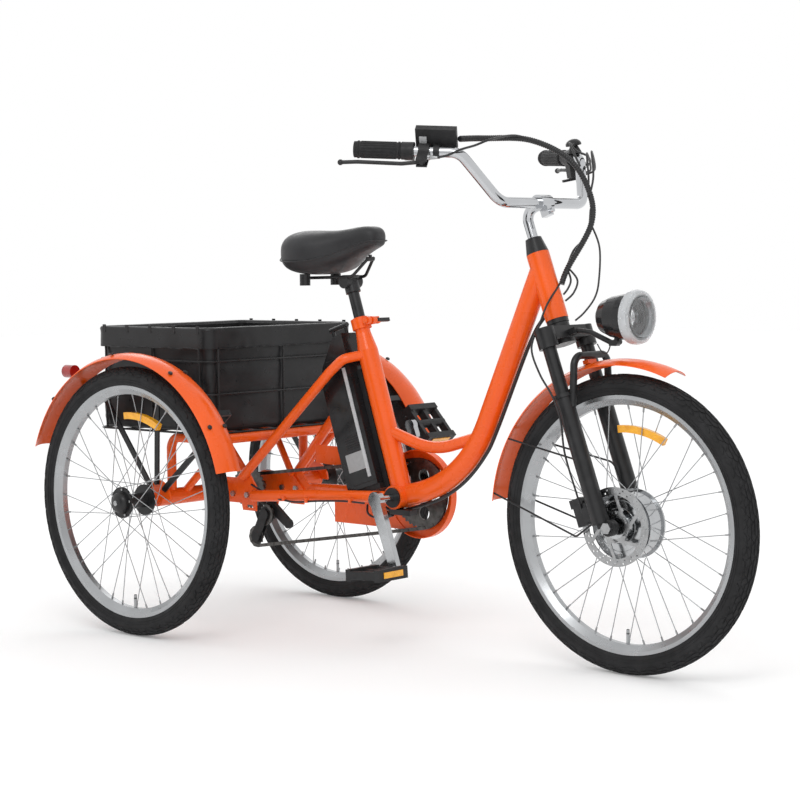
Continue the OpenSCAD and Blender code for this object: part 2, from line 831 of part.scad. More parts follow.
module crank_arms() {
    color(silver) home() translate([bb_x, 0, bb_z]) rotate([0, -crank_turn + 180, 0]) {
        y_ring(8.5, -arm_y0, arm_y0);
        // spider that carries the chainring
        y_ring(14, chain_line - 1.5, arm_y0);
        difference() {
            crank_arm_shape(arm_y0, arm_y1);
            translate([-crank_len, 0, 0]) y_ring(4, 0, 120);
        }
        rotate([0, 180, 0]) difference() {
            crank_arm_shape(-arm_y1, -arm_y0);
            translate([-crank_len, 0, 0]) y_ring(4, -120, 0);
        }
        // pedal spindles
        translate([-crank_len, 0, 0]) {
            y_ring(4, arm_y0, pedal_y1 - 8);
            y_ring(9, arm_y1, pedal_y0 - 4);
        }
        translate([crank_len, 0, 0]) {
            y_ring(4, -pedal_y1 + 8, -arm_y0);
            y_ring(9, -pedal_y0 + 4, -arm_y1);
        }
    }
}

module pedal_shape() {
    difference() {
        union() {
            y_ring(10, pedal_y0, pedal_y1);
            for (x = [-48, 34]) translate([x, pedal_y0, -13])
                cube([14, pedal_y1 - pedal_y0, 26]);
            for (y = [pedal_y0, (pedal_y0 + pedal_y1) / 2 - 5, pedal_y1 - 10])
                translate([-40, y, -9]) cube([80, 10, 18]);
        }
        y_ring(4 + fit, pedal_y0 - 1, pedal_y1 - 6);
    }
}

module left_pedal() {
    color(black) home() translate([bb_x + crank_len * cos(crank_turn), 0,
        bb_z + crank_len * sin(crank_turn)]) rotate([0, 48, 0]) pedal_shape();
}

module right_pedal() {
    color(black) home() translate([bb_x - crank_len * cos(crank_turn), 0,
        bb_z - crank_len * sin(crank_turn)]) mirror([0, 1, 0]) rotate([0, -4, 0]) pedal_shape();
}

module cassette() {
    color(grey) home() translate([0, 0, axle_z]) difference() {
        union() {
            for (k = [0:5]) y_ring(cog_r - tooth_drop + 5 * k, chain_line - 1 - 5 * k,
                chain_line + 1 - 5 * k);
            y_ring(19, chain_line - 30, chain_line + 5);
        }
        y_ring(shaft_r + fit, 0, 90);
    }
}

module drive_shaft() {
    color(silver) home() translate([0, 0, axle_z]) {
        y_ring(shaft_r, 10, half_track + flange_y + 4);
    }
}

// Arc of chain round a wheel from angle a0 to a1 counter-clockwise
module wrap(c, r, a0, a1) {
    n = ceil((a1 - a0) / 6);
    step = (a1 - a0) / n;
    translate(c) polygon(concat(
        [for (i = [0:n]) (r + chain_h / 2) * [cos(a0 + step * i), sin(a0 + step * i)]],
        [for (i = [n:-1:0]) (r - chain_h / 2) * [cos(a0 + step * i), sin(a0 + step * i)]]));
}

// Straight piece of chain between two points
module link_run(p, q) {
    v = q - p;
    translate(p) rotate(atan2(v[1], v[0])) translate([-0.5, -chain_h / 2])
        square([norm(v) + 1, chain_h]);
}

function polar(c, r, a) = c + r * [cos(a), sin(a)];
function lean(c0, c1) = atan2(c1[1] - c0[1], c1[0] - c0[0]);
module chain() {
    color(grey) home() side_plate(chain_line - chain_w / 2, chain_line + chain_w / 2) {
        link_run(polar(cog_c, cog_r, top_a), polar(ring_c, ring_r, top_a));
        wrap(ring_c, ring_r, low_a, top_a);
        link_run(polar(jockey_low, jockey_r, low_a), polar(ring_c, ring_r, low_a));
        wrap(jockey_low, jockey_r, mid_a, low_a + 360);
        link_run(polar(jockey_low, jockey_r, mid_a), polar(jockey_up, jockey_r, mid_a - 180));
        wrap(jockey_up, jockey_r, mid_a - 180, cog_a);
        link_run(polar(jockey_up, jockey_r, cog_a), polar(cog_c, cog_r, cog_a - 180));
        wrap(cog_c, cog_r, top_a, cog_a + 180);
    }
}

module chain_guard() {
    y1 = chain_line + 10;
    r1 = ring_r + 22;
    color(orange) home() difference() {
        union() {
            translate([bb_x, 0, bb_z]) {
                y_ring(r1, chain_line - 8, y1, r1 - 1.6);
                y_ring(r1, y1 - 1.6, y1, r1 - 22);
            }
            side_plate(y1 - 1.6, y1) polygon([[250, bb_z - 84], [250, bb_z - 30],
                [bb_x - 74, bb_z - 30], [bb_x - 50, bb_z - r1 + 14]]);
            side_plate(y1 - 1.6, y1) polygon([[190, bb_z + 50], [190, bb_z + 92],
                [bb_x - 40, bb_z + r1 - 10], [bb_x - 78, bb_z + 40]]);
        }
        // open rear of the drum
        translate([bb_x - 2 * r1, chain_line - 20, bb_z - r1 - 1])
            cube([2 * r1 - 40, 26, 2 * r1 + 2]);
    }
}

// Flat bar with round ends from p to q
module link_bar(p, q, r0, r1) {
    translate(p) circle(r = r0);
    translate(q) circle(r = r1);
    translate(p) rotate(lean(p, q)) polygon([[0, r0 - 0.5], [norm(q - p), r1 - 0.5],
        [norm(q - p), 0.5 - r1], [0, 0.5 - r0]]);
}

module derailleur() {
    y_out = chain_line + 5;
    color(black) home() {
        // two side plates of the cage
        for (y = [chain_line - 7.5, y_out]) side_plate(y, y + 2.5)
            link_bar(jockey_up, jockey_low, 13, 13);
        // pins of the two wheels
        for (c = [jockey_up, jockey_low]) translate([c[0], 0, c[1]])
            y_ring(4, chain_line - 7.5, y_out + 2.5);
        // body reaching out from the hanger
        translate([36, 0, axle_z - 66]) y_ring(14, y_out + 2.5, plate_y - 2);
        side_plate(plate_y - 12, plate_y - 2)
            link_bar([36, axle_z - 46], [92, axle_z - 86], 13, 11);
        translate([35, 0, axle_z - 44]) y_ring(8, plate_y - 3, plate_y);
    }
}

module jockey_shape() {
    y_ring(jockey_r - tooth_drop, chain_line - 3, chain_line + 3, 4 + fit);
}

module jockey_upper() {
    color(black) home() translate([jockey_up[0], 0, jockey_up[1]]) jockey_shape();
}

module jockey_lower() {
    color(black) home() translate([jockey_low[0], 0, jockey_low[1]]) jockey_shape();
}

// --------------------------------------------------------------------- seat

module seatpost() {
    color(black) seat_frame() translate([0, 0, seat_tube_len - 150]) {
        cylinder(d = post_d, h = 150 + seat_rise);
    }
}

module saddle_clamp() {
    color(black) home() translate([saddle_x, 0, saddle_z]) {
        difference() {
            union() {
                y_ring(15, -24, 24);
                rotate([0, -seat_tilt, 0]) translate([0, 0, -26])
                    cylinder(r = 17, h = 30);
            }
            rotate([0, -seat_tilt, 0]) translate([0, 0, -50]) cylinder(d = post_d, h = 50);
        }
        // rails under the saddle, rising to its nose, and a spring under each rear lobe
        for (s = [-1, 1]) {
            bent_bar([[-98, s * 22, 9], [24, s * 22, 11], [63, s * 8, 53]], 20, 7);
            translate([-94, s * 50, -8]) cylinder(r = 12, h = 26);
            rod([-94, s * 22, 9], [-94, s * 50, 9], 7);
        }
        rod([60, -10, 50], [60, 10, 50], 10);
        rod([60, 0, 50], [60, 0, 59.6], 8);
    }
}

module saddle() {
    color([0.07, 0.07, 0.075]) home() translate([saddle_x, 0, saddle_z]) hull() {
        for (s = [-1, 1]) {
            translate([-98, s * 62, 68]) scale([1.3, 1.1, 1.35]) sphere(r = 36, $fn = 32);
            translate([-20, s * 34, 86]) sphere(r = 30, $fn = 32);
        }
        translate([28, 0, 88]) sphere(r = 28, $fn = 32);
        translate([68, 0, 90]) sphere(r = 26, $fn = 32);
    }
}

module seat_lever() {
    color(black) seat_frame() translate([28, 24, seat_tube_len - 14]) difference() {
        union() {
            translate([0, 0, -4]) cylinder(r = 5.5, h = 8);
            translate([-3.5, 0, -4]) cube([7, 38, 8]);
        }
        translate([0, 0, -5]) cylinder(r = 2.5 + fit, h = 10);
    }
}

// -------------------------------------------------------------------- front

module fork_crown() {
    color(black) headlamp_arm();
    color(black) steering() {
        translate([0, 0, crown_top]) {
            cylinder(r = 22, h = 10);
            difference() {
                cylinder(r = steerer_r, h = head_top - crown_top + 8);
                translate([0, 0, 40]) cylinder(r = 11.1 + fit, h = 300);
            }
        }
        translate([0, 0, crown_low]) {
            cylinder(r = 26, h = crown_top - crown_low);
            translate([-16, -leg_y, 8]) cube([42, 2 * leg_y, crown_top - crown_low - 8]);
        }
        both() translate([leg_lx, -leg_y, 0]) {
            translate([0, 0, crown_low - 8]) cylinder(r = 21, h = crown_top - crown_low + 8);
            translate([0, 0, stanchion_low])
                cylinder(r = stanchion_r, h = crown_low - stanchion_low);
        }
    }
}

module fork_lowers() {
    color(black) steering() difference() {
        union() {
            both() translate([leg_lx, -leg_y, 0]) {
                translate([0, 0, 4]) cylinder(r = lower_r, h = lower_top - 12);
                translate([0, 0, lower_top - 8]) cylinder(r = lower_r + 2.5, h = 8);
                // dropout carrying the axle
                translate([axle_lx - leg_lx, 0, axle_lz]) y_ring(17, -4, 10);
                translate([-8, -4, axle_lz + 4]) cube([26, 12, 24]);
            }
            // arch in front of the tyre
            bent_bar([[leg_lx + 14, -leg_y + 2, lower_top - 30],
                [leg_lx + 48, -leg_y + 8, lower_top + 65],
                [leg_lx + 48, leg_y - 8, lower_top + 65],
                [leg_lx + 14, leg_y - 2, lower_top - 30]], 22, 15);
        }
        both() translate([leg_lx, -leg_y, stanchion_low - fork_travel - 8])
            cylinder(r = stanchion_r + fit, h = tyre_r);
        translate([axle_lx, 0, axle_lz]) y_ring(axle_r, -200, 200);
    }
}

module front_axle() {
    color(silver) at_front_wheel() {
        y_ring(axle_r, -leg_y - 12, leg_y + 12);
        for (s = [-1, 1]) translate([0, s * (leg_y + 4), 0]) rotate([-90 * s, 0, 0])
            difference() {
                cylinder(r = 12, h = 8, $fn = 6);
                translate([0, 0, -1]) cylinder(r = axle_r, h = 20);
            }
    }
}

module front_mudguard() {
    color(orange) {
        at_front_wheel() guard_shape(69, 175);
        steering() translate([axle_lx, -14, axle_lz])
            rotate([0, -86, 0]) translate([guard_in + guard_t - 0.4, 0, -8])
                cube([8.2, 28, 14]);
    }
}

module front_guard_stays() {
    y = guard_w / 2 - 4;
    a = 150;
    b = 172;
    r = guard_edge + 2;
    color(black) difference() {
        at_front_wheel() both() {
            bent_bar([[r * cos(a), -y, r * sin(a)], [-60, -y - 4, 120],
                [-30, -leg_y + 8, 28]], 20, 4);
            bent_bar([[r * cos(b), -y, r * sin(b)], [-90, -leg_y + 12, -26],
                [-32, -leg_y + 8, 14]], 12, 4);
        }
        steering() both() translate([leg_lx, -leg_y, 0]) cylinder(r = lower_r, h = lower_top);
    }
}

module brake_caliper() {
    color(black) steering() difference() {
        union() {
            translate([-52, disc_y - 16, 12]) cube([34, 30, 44]);
            translate([-30, -leg_y, 16]) cube([26, 10, 30]);
            translate([-34, disc_y - 6, 62]) y_ring(9, -8, 4);
            translate([-60, disc_y - 12, 52]) cube([30, 10, 18]);
        }
        translate([axle_lx, 0, axle_lz]) y_ring(disc_d / 2 + 2, disc_y - 1.6, disc_y + 1.6);
        translate([leg_lx, -leg_y, 0]) cylinder(r = lower_r, h = 200);
    }
}

module stem() {
    color(chrome) steering() difference() {
        union() {
            translate([0, 0, head_top - 90]) cylinder(r = 11.1, h = 150);
            bent_bar([[0, 0, head_top + 60], [0, 0, bar_lz - 2], [bar_lx - 10, 0, bar_lz]], 25, 22.2);
            translate([bar_lx, 0, bar_lz]) y_ring(bar_r + 6, -19, 19);
            translate([bar_lx - 6, -8, bar_lz - 30]) cube([20, 16, 22]);
            translate([bar_lx + 4, 0, bar_lz - 22]) rotate([0, 90, 0]) cylinder(r = 5, h = 18);
        }
        translate([bar_lx, 0, bar_lz]) y_ring(bar_r + fit, -30, 30);
    }
}

module handlebar() {
    color(chrome) steering() {
        both() bent_bar([bar_pts[0], bar_pts[1], bar_pts[2], [bar_lx, 0, bar_lz]], 38, bar_d);
    }
}

// Moves a part onto the right grip frame
module on_grip() {
    p = bar_pts[0];
    multmatrix([
        [grip_n[0], grip_d[0], grip_e[0], p[0]],
        [grip_n[1], grip_d[1], grip_e[1], p[1]],
        [grip_n[2], grip_d[2], grip_e[2], p[2]],
        [0, 0, 0, 1]
    ]) children();
}

module collar(r, z0, z1) {
    translate([0, 0, z0]) difference() {
        cylinder(r = r, h = z1 - z0);
        translate([0, 0, -1]) cylinder(r = bar_r + fit, h = z1 - z0 + 2);
    }
}

module grips() {
    color(black) steering() {
        on_grip() {
            collar(16.5, 0, 92);
            translate([0, 0, -4]) cylinder(r = 16.5, h = 4);
        }
        mirror([0, 1, 0]) on_grip() {
            collar(16.5, 0, 122);
            translate([0, 0, -4]) cylinder(r = 16.5, h = 4);
        }
    }
}

module lever_mount() {
    collar(16, lever_z - 12, lever_z + 10);
    difference() {
        translate([10, -8, lever_z - 12]) cube([34, 18, 22]);
        translate([0, 0, lever_z - 20]) cylinder(r = bar_r + fit, h = 50);
        translate([26, -2.6, lever_z - 14]) cube([30, 9.2, 26]);
    }
    // pin the lever swings on
    translate([36, 9, lever_z - 1]) rotate([90, 0, 0]) cylinder(r = 2.5, h = 16);
}

module bar_controls() {
    color(black) steering() {
        on_grip() rotate([0, 0, lever_drop]) lever_mount();
        mirror([0, 1, 0]) on_grip() {
            rotate([0, 0, lever_drop]) lever_mount();
            // gear shifter body below the bar
            collar(19, 154, 176);
            translate([-14, 12, 152]) cube([34, 30, 26]);
            // bell on top of the bar
            translate([0, -12, 186]) rotate([90, 0, 0]) cylinder(r1 = 15, r2 = 8, h = 16);
            collar(14, 180, 192);
        }
    }
}

module display() {
    color(black) steering() on_grip() difference() {
        union() {
            translate([0, 0, 158]) cylinder(r = 14, h = 12);
            rotate([0, 0, -display_tilt]) {
                translate([-6, -18, 158]) cube([12, 10, 12]);
                translate([-7.5, -33, 119]) cube([48, 16, 83]);
            }
        }
        translate([0, 0, 150]) cylinder(r = bar_r + fit, h = 30);
    }
}

module throttle() {
    color(black) steering() on_grip() {
        difference() {
            translate([0, 0, 93]) cylinder(r = 18, h = 25);
            translate([0, 0, 90]) cylinder(r = bar_r + fit, h = 40);
        }
        translate([-24, 2, 96]) cube([10, 12, 20]);
    }
}

module shift_lever() {
    color(black) steering() mirror([0, 1, 0]) on_grip() {
        translate([4, 42.5, 165]) rotate([-90, 0, 0]) cylinder(r = 9, h = 5);
        translate([-30, 42.5, 161]) cube([30, 5, 9]);
    }
}

module brake_lever_shape() {
    difference() {
        union() {
            translate([36, 6, lever_z - 1]) rotate([90, 0, 0]) cylinder(r = 7, h = 8);
            bent_bar([[38, 2, lever_z - 5], [46, 2, lever_z - 40], [44, 2, 10], [48, 2, -24]],
                30, 8);
            translate([48, 2, -24]) sphere(r = 6, $fn = 24);
        }
        translate([36, 10, lever_z - 1]) rotate([90, 0, 0]) cylinder(r = 2.5 + fit, h = 20);
    }
}

module right_brake_lever() {
    color(grey) steering() on_grip() rotate([0, 0, lever_drop]) brake_lever_shape();
}

module left_brake_lever() {
    color(grey) steering() mirror([0, 1, 0]) on_grip() rotate([0, 0, lever_drop])
        brake_lever_shape();
}

// ----------------------------------------------------------------- headlamp

// Arm from the crown to the lamp, with ears either side of the pivot
module headlamp_arm() {
    steering() translate([25, -10, crown_low + 12]) cube([18, 20, 12]);
    home() {
        bent_bar([from_steer(38, crown_low + 18), from_steer(72, crown_low + 2),
            lamp_p + [-14, 0, -2]], 14, 11);
        difference() {
            translate(lamp_p + [-16, -8, -8]) cube([16, 16, 12]);
            translate(lamp_p) y_ring(9, -4, 4);
        }
        translate(lamp_p) both() y_ring(6, -8, -4);
        translate(lamp_p) y_ring(3, -8, 8);
    }
}

module headlamp_shell() {
    color(black) home() difference() {
        union() {
            translate([lamp_x, 0, lamp_z]) rotate([0, 90, 0]) rotate_extrude()
                polygon([[0, 0], [20, 1], [33, 12], [41, 32], [46, 60], [49, 86],
                    [46, 86], [43, 60], [38, 34], [30, 16], [0, 5]]);
            translate(lamp_p + [-6, -3.5, 0]) cube([12, 7, 12]);
            translate(lamp_p) y_ring(6, -3.5, 3.5);
        }
        translate(lamp_p) y_ring(3 + fit, -10, 10);
    }
}

module headlamp_glass() {
    color([0.8, 0.85, 0.9, 0.4]) home() translate([lamp_x, 0, lamp_z]) rotate([0, 90, 0])
        rotate_extrude() polygon([[0, 78], [24, 84], [46, 86], [50, 86], [50, 100],
            [40, 102], [34, 94], [0, 92]]);
}

// ------------------------------------------------------------------- wiring

module wiring_loom() {
    color(black) home() {
        cable(curve(loom_pts, 8), 8);
        translate([bb_x - 16, -30, bb_z - 38.3]) cube([60, 24, 12]);
    }
}

module bar_loom() {
    color(black) steering() cable(curve(bar_loom_pts, 8), 11);
}

// -------------------------------------------------------------------- build

main_frame();
rear_frame();
frame_bolts();
bearing_cups();
seat_clamp();
rear_mudguards();
mudguard_struts();
basket_frame();
basket_liner();
battery_dock();
chain_guard();
chain();
derailleur();
tail_lamps();
wiring_loom();
battery_case();
battery_trim();
fork_crown();
stem();
handlebar();
grips();
display();
bar_controls();
bar_loom();
fork_lowers();
front_mudguard();
front_guard_stays();
brake_caliper();
front_axle();
front_tyre();
front_wheel_metal();
front_hub_motor();
brake_disc();
front_reflector();
right_tyre();
right_wheel_metal();
right_hub();
right_reflector();
left_tyre();
left_wheel_metal();
left_hub();
left_reflector();
drive_shaft();
cassette();
crank_arms();
chainring();
right_pedal();
left_pedal();
seatpost();
saddle();
saddle_clamp();
seat_lever();
right_brake_lever();
left_brake_lever();
throttle();
shift_lever();
headlamp_shell();
headlamp_glass();
jockey_upper();
jockey_lower();
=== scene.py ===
"""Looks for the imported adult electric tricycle. Metres, +X forward, +Y rider's left, +Z up."""

import json
import math

import bmesh
import bpy
from mathutils import Matrix, Vector, noise


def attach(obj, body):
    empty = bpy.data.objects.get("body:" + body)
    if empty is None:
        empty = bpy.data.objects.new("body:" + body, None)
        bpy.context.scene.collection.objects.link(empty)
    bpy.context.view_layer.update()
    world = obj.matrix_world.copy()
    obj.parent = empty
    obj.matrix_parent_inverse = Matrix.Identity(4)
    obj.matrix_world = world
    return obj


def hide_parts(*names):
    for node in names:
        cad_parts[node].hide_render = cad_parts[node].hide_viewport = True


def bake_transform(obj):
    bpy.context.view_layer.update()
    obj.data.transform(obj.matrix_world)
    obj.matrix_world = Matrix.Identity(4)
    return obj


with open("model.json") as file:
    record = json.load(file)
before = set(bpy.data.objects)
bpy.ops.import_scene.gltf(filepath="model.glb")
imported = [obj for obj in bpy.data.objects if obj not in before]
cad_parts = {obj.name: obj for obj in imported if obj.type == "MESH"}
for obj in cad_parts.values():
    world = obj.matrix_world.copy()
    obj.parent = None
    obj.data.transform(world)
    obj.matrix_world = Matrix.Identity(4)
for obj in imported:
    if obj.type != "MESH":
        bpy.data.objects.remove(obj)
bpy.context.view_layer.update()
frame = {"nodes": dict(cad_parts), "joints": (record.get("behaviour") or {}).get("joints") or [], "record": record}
nodes = frame["nodes"]
joint = {j["name"]: j for j in frame["joints"]}

# ------------------------------------------------------------ CAD frames, in millimetres
TYRE_R = 304.0
X_MID = 555.789
TILT = math.radians(20)
SEAT_TILT = math.radians(17.8)
STEER_X = 1122 - 24 / math.cos(TILT)
CROWN_TOP = TYRE_R + 112
HEAD_TOP = CROWN_TOP + 164


def at(x, y, z):
    """A point measured forward from the rear axle line."""
    return Vector(((x - X_MID) / 1000, y / 1000, z / 1000))


def steer(lx, ly, lz):
    """A point of the steering frame."""
    return at(STEER_X + lx * math.cos(TILT) - lz * math.sin(TILT), ly,
              TYRE_R + lx * math.sin(TILT) + lz * math.cos(TILT))


def seat(lx, ly, lz):
    """A point of the seat tube frame."""
    return at(520 + lx * math.cos(SEAT_TILT) - lz * math.sin(SEAT_TILT), ly,
              320 + lx * math.sin(SEAT_TILT) + lz * math.cos(SEAT_TILT))


BAR_END = Vector((-132, -310, HEAD_TOP + 276))
BAR_BEND = Vector((32, -200, HEAD_TOP + 205))
GRIP_E = (BAR_BEND - BAR_END).normalized()
GRIP_N = Vector((GRIP_E.y, -GRIP_E.x, 0)).normalized()
GRIP_D = GRIP_E.cross(GRIP_N)


def grip(x, y, z, side=-1):
    """A point of the grip frame: z inward along the bar, x forward and out, y down."""
    p = BAR_END + x * GRIP_N + y * GRIP_D + z * GRIP_E
    return steer(p.x, p.y * -side, p.z)


def wheel_at(name):
    return Vector(joint[name]["pos_m"])


# ------------------------------------------------------------------------------ camera
def set_camera():
    yaw, pitch, roll = math.radians(131.82), math.radians(-3.97), math.radians(-0.65)
    forward = Vector((math.cos(yaw) * math.cos(pitch), math.sin(yaw) * math.cos(pitch),
                      math.sin(pitch)))
    right = Vector((math.sin(yaw), -math.cos(yaw), 0))
    up = right.cross(forward)
    r2 = math.cos(roll) * right + math.sin(roll) * up
    u2 = -math.sin(roll) * right + math.cos(roll) * up
    data = bpy.data.cameras.new("camera")
    data.lens = 92.0
    data.sensor_width = 36
    data.clip_end = 60
    cam = bpy.data.objects.new("camera", data)
    bpy.context.scene.collection.objects.link(cam)
    m = Matrix((r2, u2, -forward)).transposed().to_4x4()
    m.translation = Vector((3.5037 - X_MID / 1000, -3.3435, 0.8435))
    cam.matrix_world = m
    bpy.context.scene.camera = cam


set_camera()


# --------------------------------------------------------------------------- materials
def surface(name, color, rough, metallic=0.0, tint=0.12, grain=50, bump=0.0, bump_scale=500,
            pattern="noise", rough_var=0.08, coat=0.0, coat_rough=0.05, spec=0.5, sheen=0.0,
            aniso=0.0, stretch=(1, 1, 1), alpha=1.0, transmission=0.0, ior=1.5, dark=None):
    """A shader with colour variation, uneven gloss and a relief of the given pattern."""
    m = bpy.data.materials.new(name)
    m.use_nodes = True
    nt = m.node_tree
    b = nt.nodes["Principled BSDF"]
    b.inputs["Metallic"].default_value = metallic
    b.inputs["Specular IOR Level"].default_value = spec
    b.inputs["IOR"].default_value = ior
    b.inputs["Coat Weight"].default_value = coat
    b.inputs["Coat Roughness"].default_value = coat_rough
    b.inputs["Sheen Weight"].default_value = sheen
    b.inputs["Anisotropic"].default_value = aniso
    b.inputs["Alpha"].default_value = alpha
    b.inputs["Transmission Weight"].default_value = transmission
    coord = nt.nodes.new("ShaderNodeTexCoord")
    place = nt.nodes.new("ShaderNodeMapping")
    place.inputs["Scale"].default_value = stretch
    nt.links.new(coord.outputs["Object"], place.inputs["Vector"])

    def noise_at(scale, detail):
        n = nt.nodes.new("ShaderNodeTexNoise")
        n.inputs["Scale"].default_value = scale
        n.inputs["Detail"].default_value = detail
        nt.links.new(place.outputs["Vector"], n.inputs["Vector"])
        return n

    ramp = nt.nodes.new("ShaderNodeValToRGB")
    low = dark or [c * (1 - tint) for c in color]
    high = [min(1, c * (1 + tint * 0.6)) for c in color]
    ramp.color_ramp.elements[0].position = 0.32
    ramp.color_ramp.elements[1].position = 0.68
    ramp.color_ramp.elements[0].color = (*low, 1)
    ramp.color_ramp.elements[1].color = (*high, 1)
    nt.links.new(noise_at(grain, 5).outputs["Fac"], ramp.inputs["Fac"])
    nt.links.new(ramp.outputs["Color"], b.inputs["Base Color"])
    gloss = nt.nodes.new("ShaderNodeMapRange")
    gloss.inputs["From Min"].default_value = 0.3
    gloss.inputs["From Max"].default_value = 0.7
    gloss.inputs["To Min"].default_value = max(0.02, rough - rough_var)
    gloss.inputs["To Max"].default_value = min(1, rough + rough_var)
    nt.links.new(noise_at(grain * 2.7, 3).outputs["Fac"], gloss.inputs["Value"])
    nt.links.new(gloss.outputs["Result"], b.inputs["Roughness"])
    if bump:
        if pattern == "leather":
            t = nt.nodes.new("ShaderNodeTexVoronoi")
            t.feature = "DISTANCE_TO_EDGE"
            t.inputs["Scale"].default_value = bump_scale
            nt.links.new(place.outputs["Vector"], t.inputs["Vector"])
            height = t.outputs["Distance"]
        elif pattern == "weave":
            t = nt.nodes.new("ShaderNodeTexChecker")
            t.inputs["Scale"].default_value = bump_scale
            nt.links.new(place.outputs["Vector"], t.inputs["Vector"])
            height = t.outputs["Fac"]
        else:
            height = noise_at(bump_scale, 4).outputs["Fac"]
        relief = nt.nodes.new("ShaderNodeBump")
        relief.inputs["Distance"].default_value = bump
        relief.inputs["Strength"].default_value = 0.6
        nt.links.new(height, relief.inputs["Height"])
        nt.links.new(relief.outputs["Normal"], b.inputs["Normal"])
    return m


ORANGE = (0.85, 0.108, 0.008)
M = {
    "orange_paint": surface("orange_paint", ORANGE, 0.28, tint=0.05, grain=9, bump=0.00003,
                            bump_scale=700, coat=0.2, coat_rough=0.1, spec=0.32),
    "black_paint": surface("black_paint", (0.012, 0.012, 0.013), 0.32, tint=0.3, grain=30,
                           bump=0.00004, bump_scale=900, coat=0.12, coat_rough=0.15, spec=0.3),
    "tyre_rubber": surface("tyre_rubber", (0.016, 0.016, 0.017), 0.72, tint=0.35, grain=22,
                           bump=0.0003, bump_scale=900, spec=0.3),
    "rim_metal": surface("rim_metal", (0.40, 0.41, 0.42), 0.3, metallic=0.85, tint=0.06, grain=14,
                         bump=0.00004, bump_scale=260),
    "polished_metal": surface("polished_metal", (0.46, 0.47, 0.48), 0.16, metallic=1.0, tint=0.1,
                              grain=25, bump=0.00003, bump_scale=300, rough_var=0.06),
    "steel": surface("steel", (0.38, 0.385, 0.39), 0.3, metallic=1.0, tint=0.12, grain=80,
                     bump=0.00004, bump_scale=800),
    "chrome": surface("chrome", (0.52, 0.53, 0.545), 0.06, metallic=1.0, tint=0.04, grain=20,
                      rough_var=0.03, bump=0.00001, bump_scale=200),
    "black_metal": surface("black_metal", (0.018, 0.018, 0.019), 0.36, tint=0.3, grain=40,
                           bump=0.00006, bump_scale=900, coat=0.1, coat_rough=0.2, spec=0.3),
    "dark_steel": surface("dark_steel", (0.12, 0.115, 0.11), 0.38, metallic=0.9, tint=0.35,
                          grain=90, bump=0.00008, bump_scale=600),
    "black_plastic": surface("black_plastic", (0.02, 0.02, 0.021), 0.5, tint=0.25, grain=45,
                             bump=0.00012, bump_scale=1500, rough_var=0.1, spec=0.3),
    "gloss_black_plastic": surface("gloss_black_plastic", (0.014, 0.014, 0.015), 0.2, tint=0.25,
                                   grain=25, bump=0.00005, bump_scale=1200, coat=0.15, spec=0.25),
    "grip_rubber": surface("grip_rubber", (0.017, 0.017, 0.018), 0.66, tint=0.3, grain=40,
                           bump=0.0003, bump_scale=1400, spec=0.35),
    "saddle_cover": surface("saddle_cover", (0.02, 0.02, 0.022), 0.46, tint=0.25, grain=18,
                            bump=0.0002, bump_scale=700, pattern="leather", sheen=0.1,
                            spec=0.4),
    "liner_vinyl": surface("liner_vinyl", (0.013, 0.013, 0.014), 0.34, tint=0.35, grain=16,
                           bump=0.00025, bump_scale=420, pattern="leather", sheen=0.03,
                           spec=0.3),
    "amber_plastic": surface("amber_plastic", (1.0, 0.42, 0.01), 0.22, tint=0.2, grain=70,
                             bump=0.0008, bump_scale=330, pattern="weave", coat=0.4),
    "red_plastic": surface("red_plastic", (0.35, 0.008, 0.006), 0.2, tint=0.25, grain=60,
                           bump=0.0008, bump_scale=330, pattern="weave", coat=0.5),
    "lamp_glass": surface("lamp_glass", (0.95, 0.97, 0.98), 0.04, tint=0.03, grain=30,
                          rough_var=0.02, transmission=0.95, ior=1.47, bump=0.0002,
                          bump_scale=90),
    "grey_strip": surface("grey_strip", (0.5, 0.51, 0.52), 0.35, tint=0.1, grain=60,
                          bump=0.00004, bump_scale=900),
    "cable_black": surface("cable_black", (0.015, 0.015, 0.016), 0.42, tint=0.25, grain=60,
                           bump=0.00008, bump_scale=900),
    "tie_orange": surface("tie_orange", (0.9, 0.12, 0.015), 0.4, tint=0.15, grain=90,
                          bump=0.00005, bump_scale=900),
    "label_white": surface("label_white", (0.34, 0.345, 0.35), 0.45, tint=0.08, grain=120,
                           bump=0.00003, bump_scale=1200),
    "clear_bezel": surface("clear_bezel", (0.8, 0.82, 0.84), 0.22, tint=0.08, grain=60,
                           transmission=0.45, ior=1.45, bump=0.0002, bump_scale=260, coat=0.5),
    "screen": surface("screen", (0.01, 0.012, 0.015), 0.08, tint=0.3, grain=40, coat=0.8,
                      bump=0.00001, bump_scale=300),
}
for s in frame["record"]["subparts"]:
    o = nodes[s["node"]]
    for i in range(len(o.material_slots)):
        o.material_slots[i].material = M[s["material_slot"]]


# ------------------------------------------------------------------------ mesh helpers
def piece(name, verts, faces, body, material, smooth=True, stands_for=(), slot=None,
          bevel=0.0):
    """A mesh object that rides on a body."""
    me = bpy.data.meshes.new(name)
    me.from_pydata([tuple(v) for v in verts], [], [tuple(f) for f in faces])
    me.validate()
    me.materials.append(M[material])
    bm = bmesh.new()
    bm.from_mesh(me)
    bmesh.ops.recalc_face_normals(bm, faces=bm.faces)
    bm.to_mesh(me)
    bm.free()
    o = bpy.data.objects.new(name, me)
    bpy.context.scene.collection.objects.link(o)
    if smooth:
        for p in me.polygons:
            p.use_smooth = True
        me.set_sharp_from_angle(angle=math.radians(38))
    if bevel:
        mod = o.modifiers.new("edge", "BEVEL")
        mod.width = bevel
        mod.segments = 2
        mod.limit_method = "ANGLE"
        mod.harden_normals = True
    if body:
        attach(o, body)
    if stands_for:
        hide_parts(*stands_for)
    return o


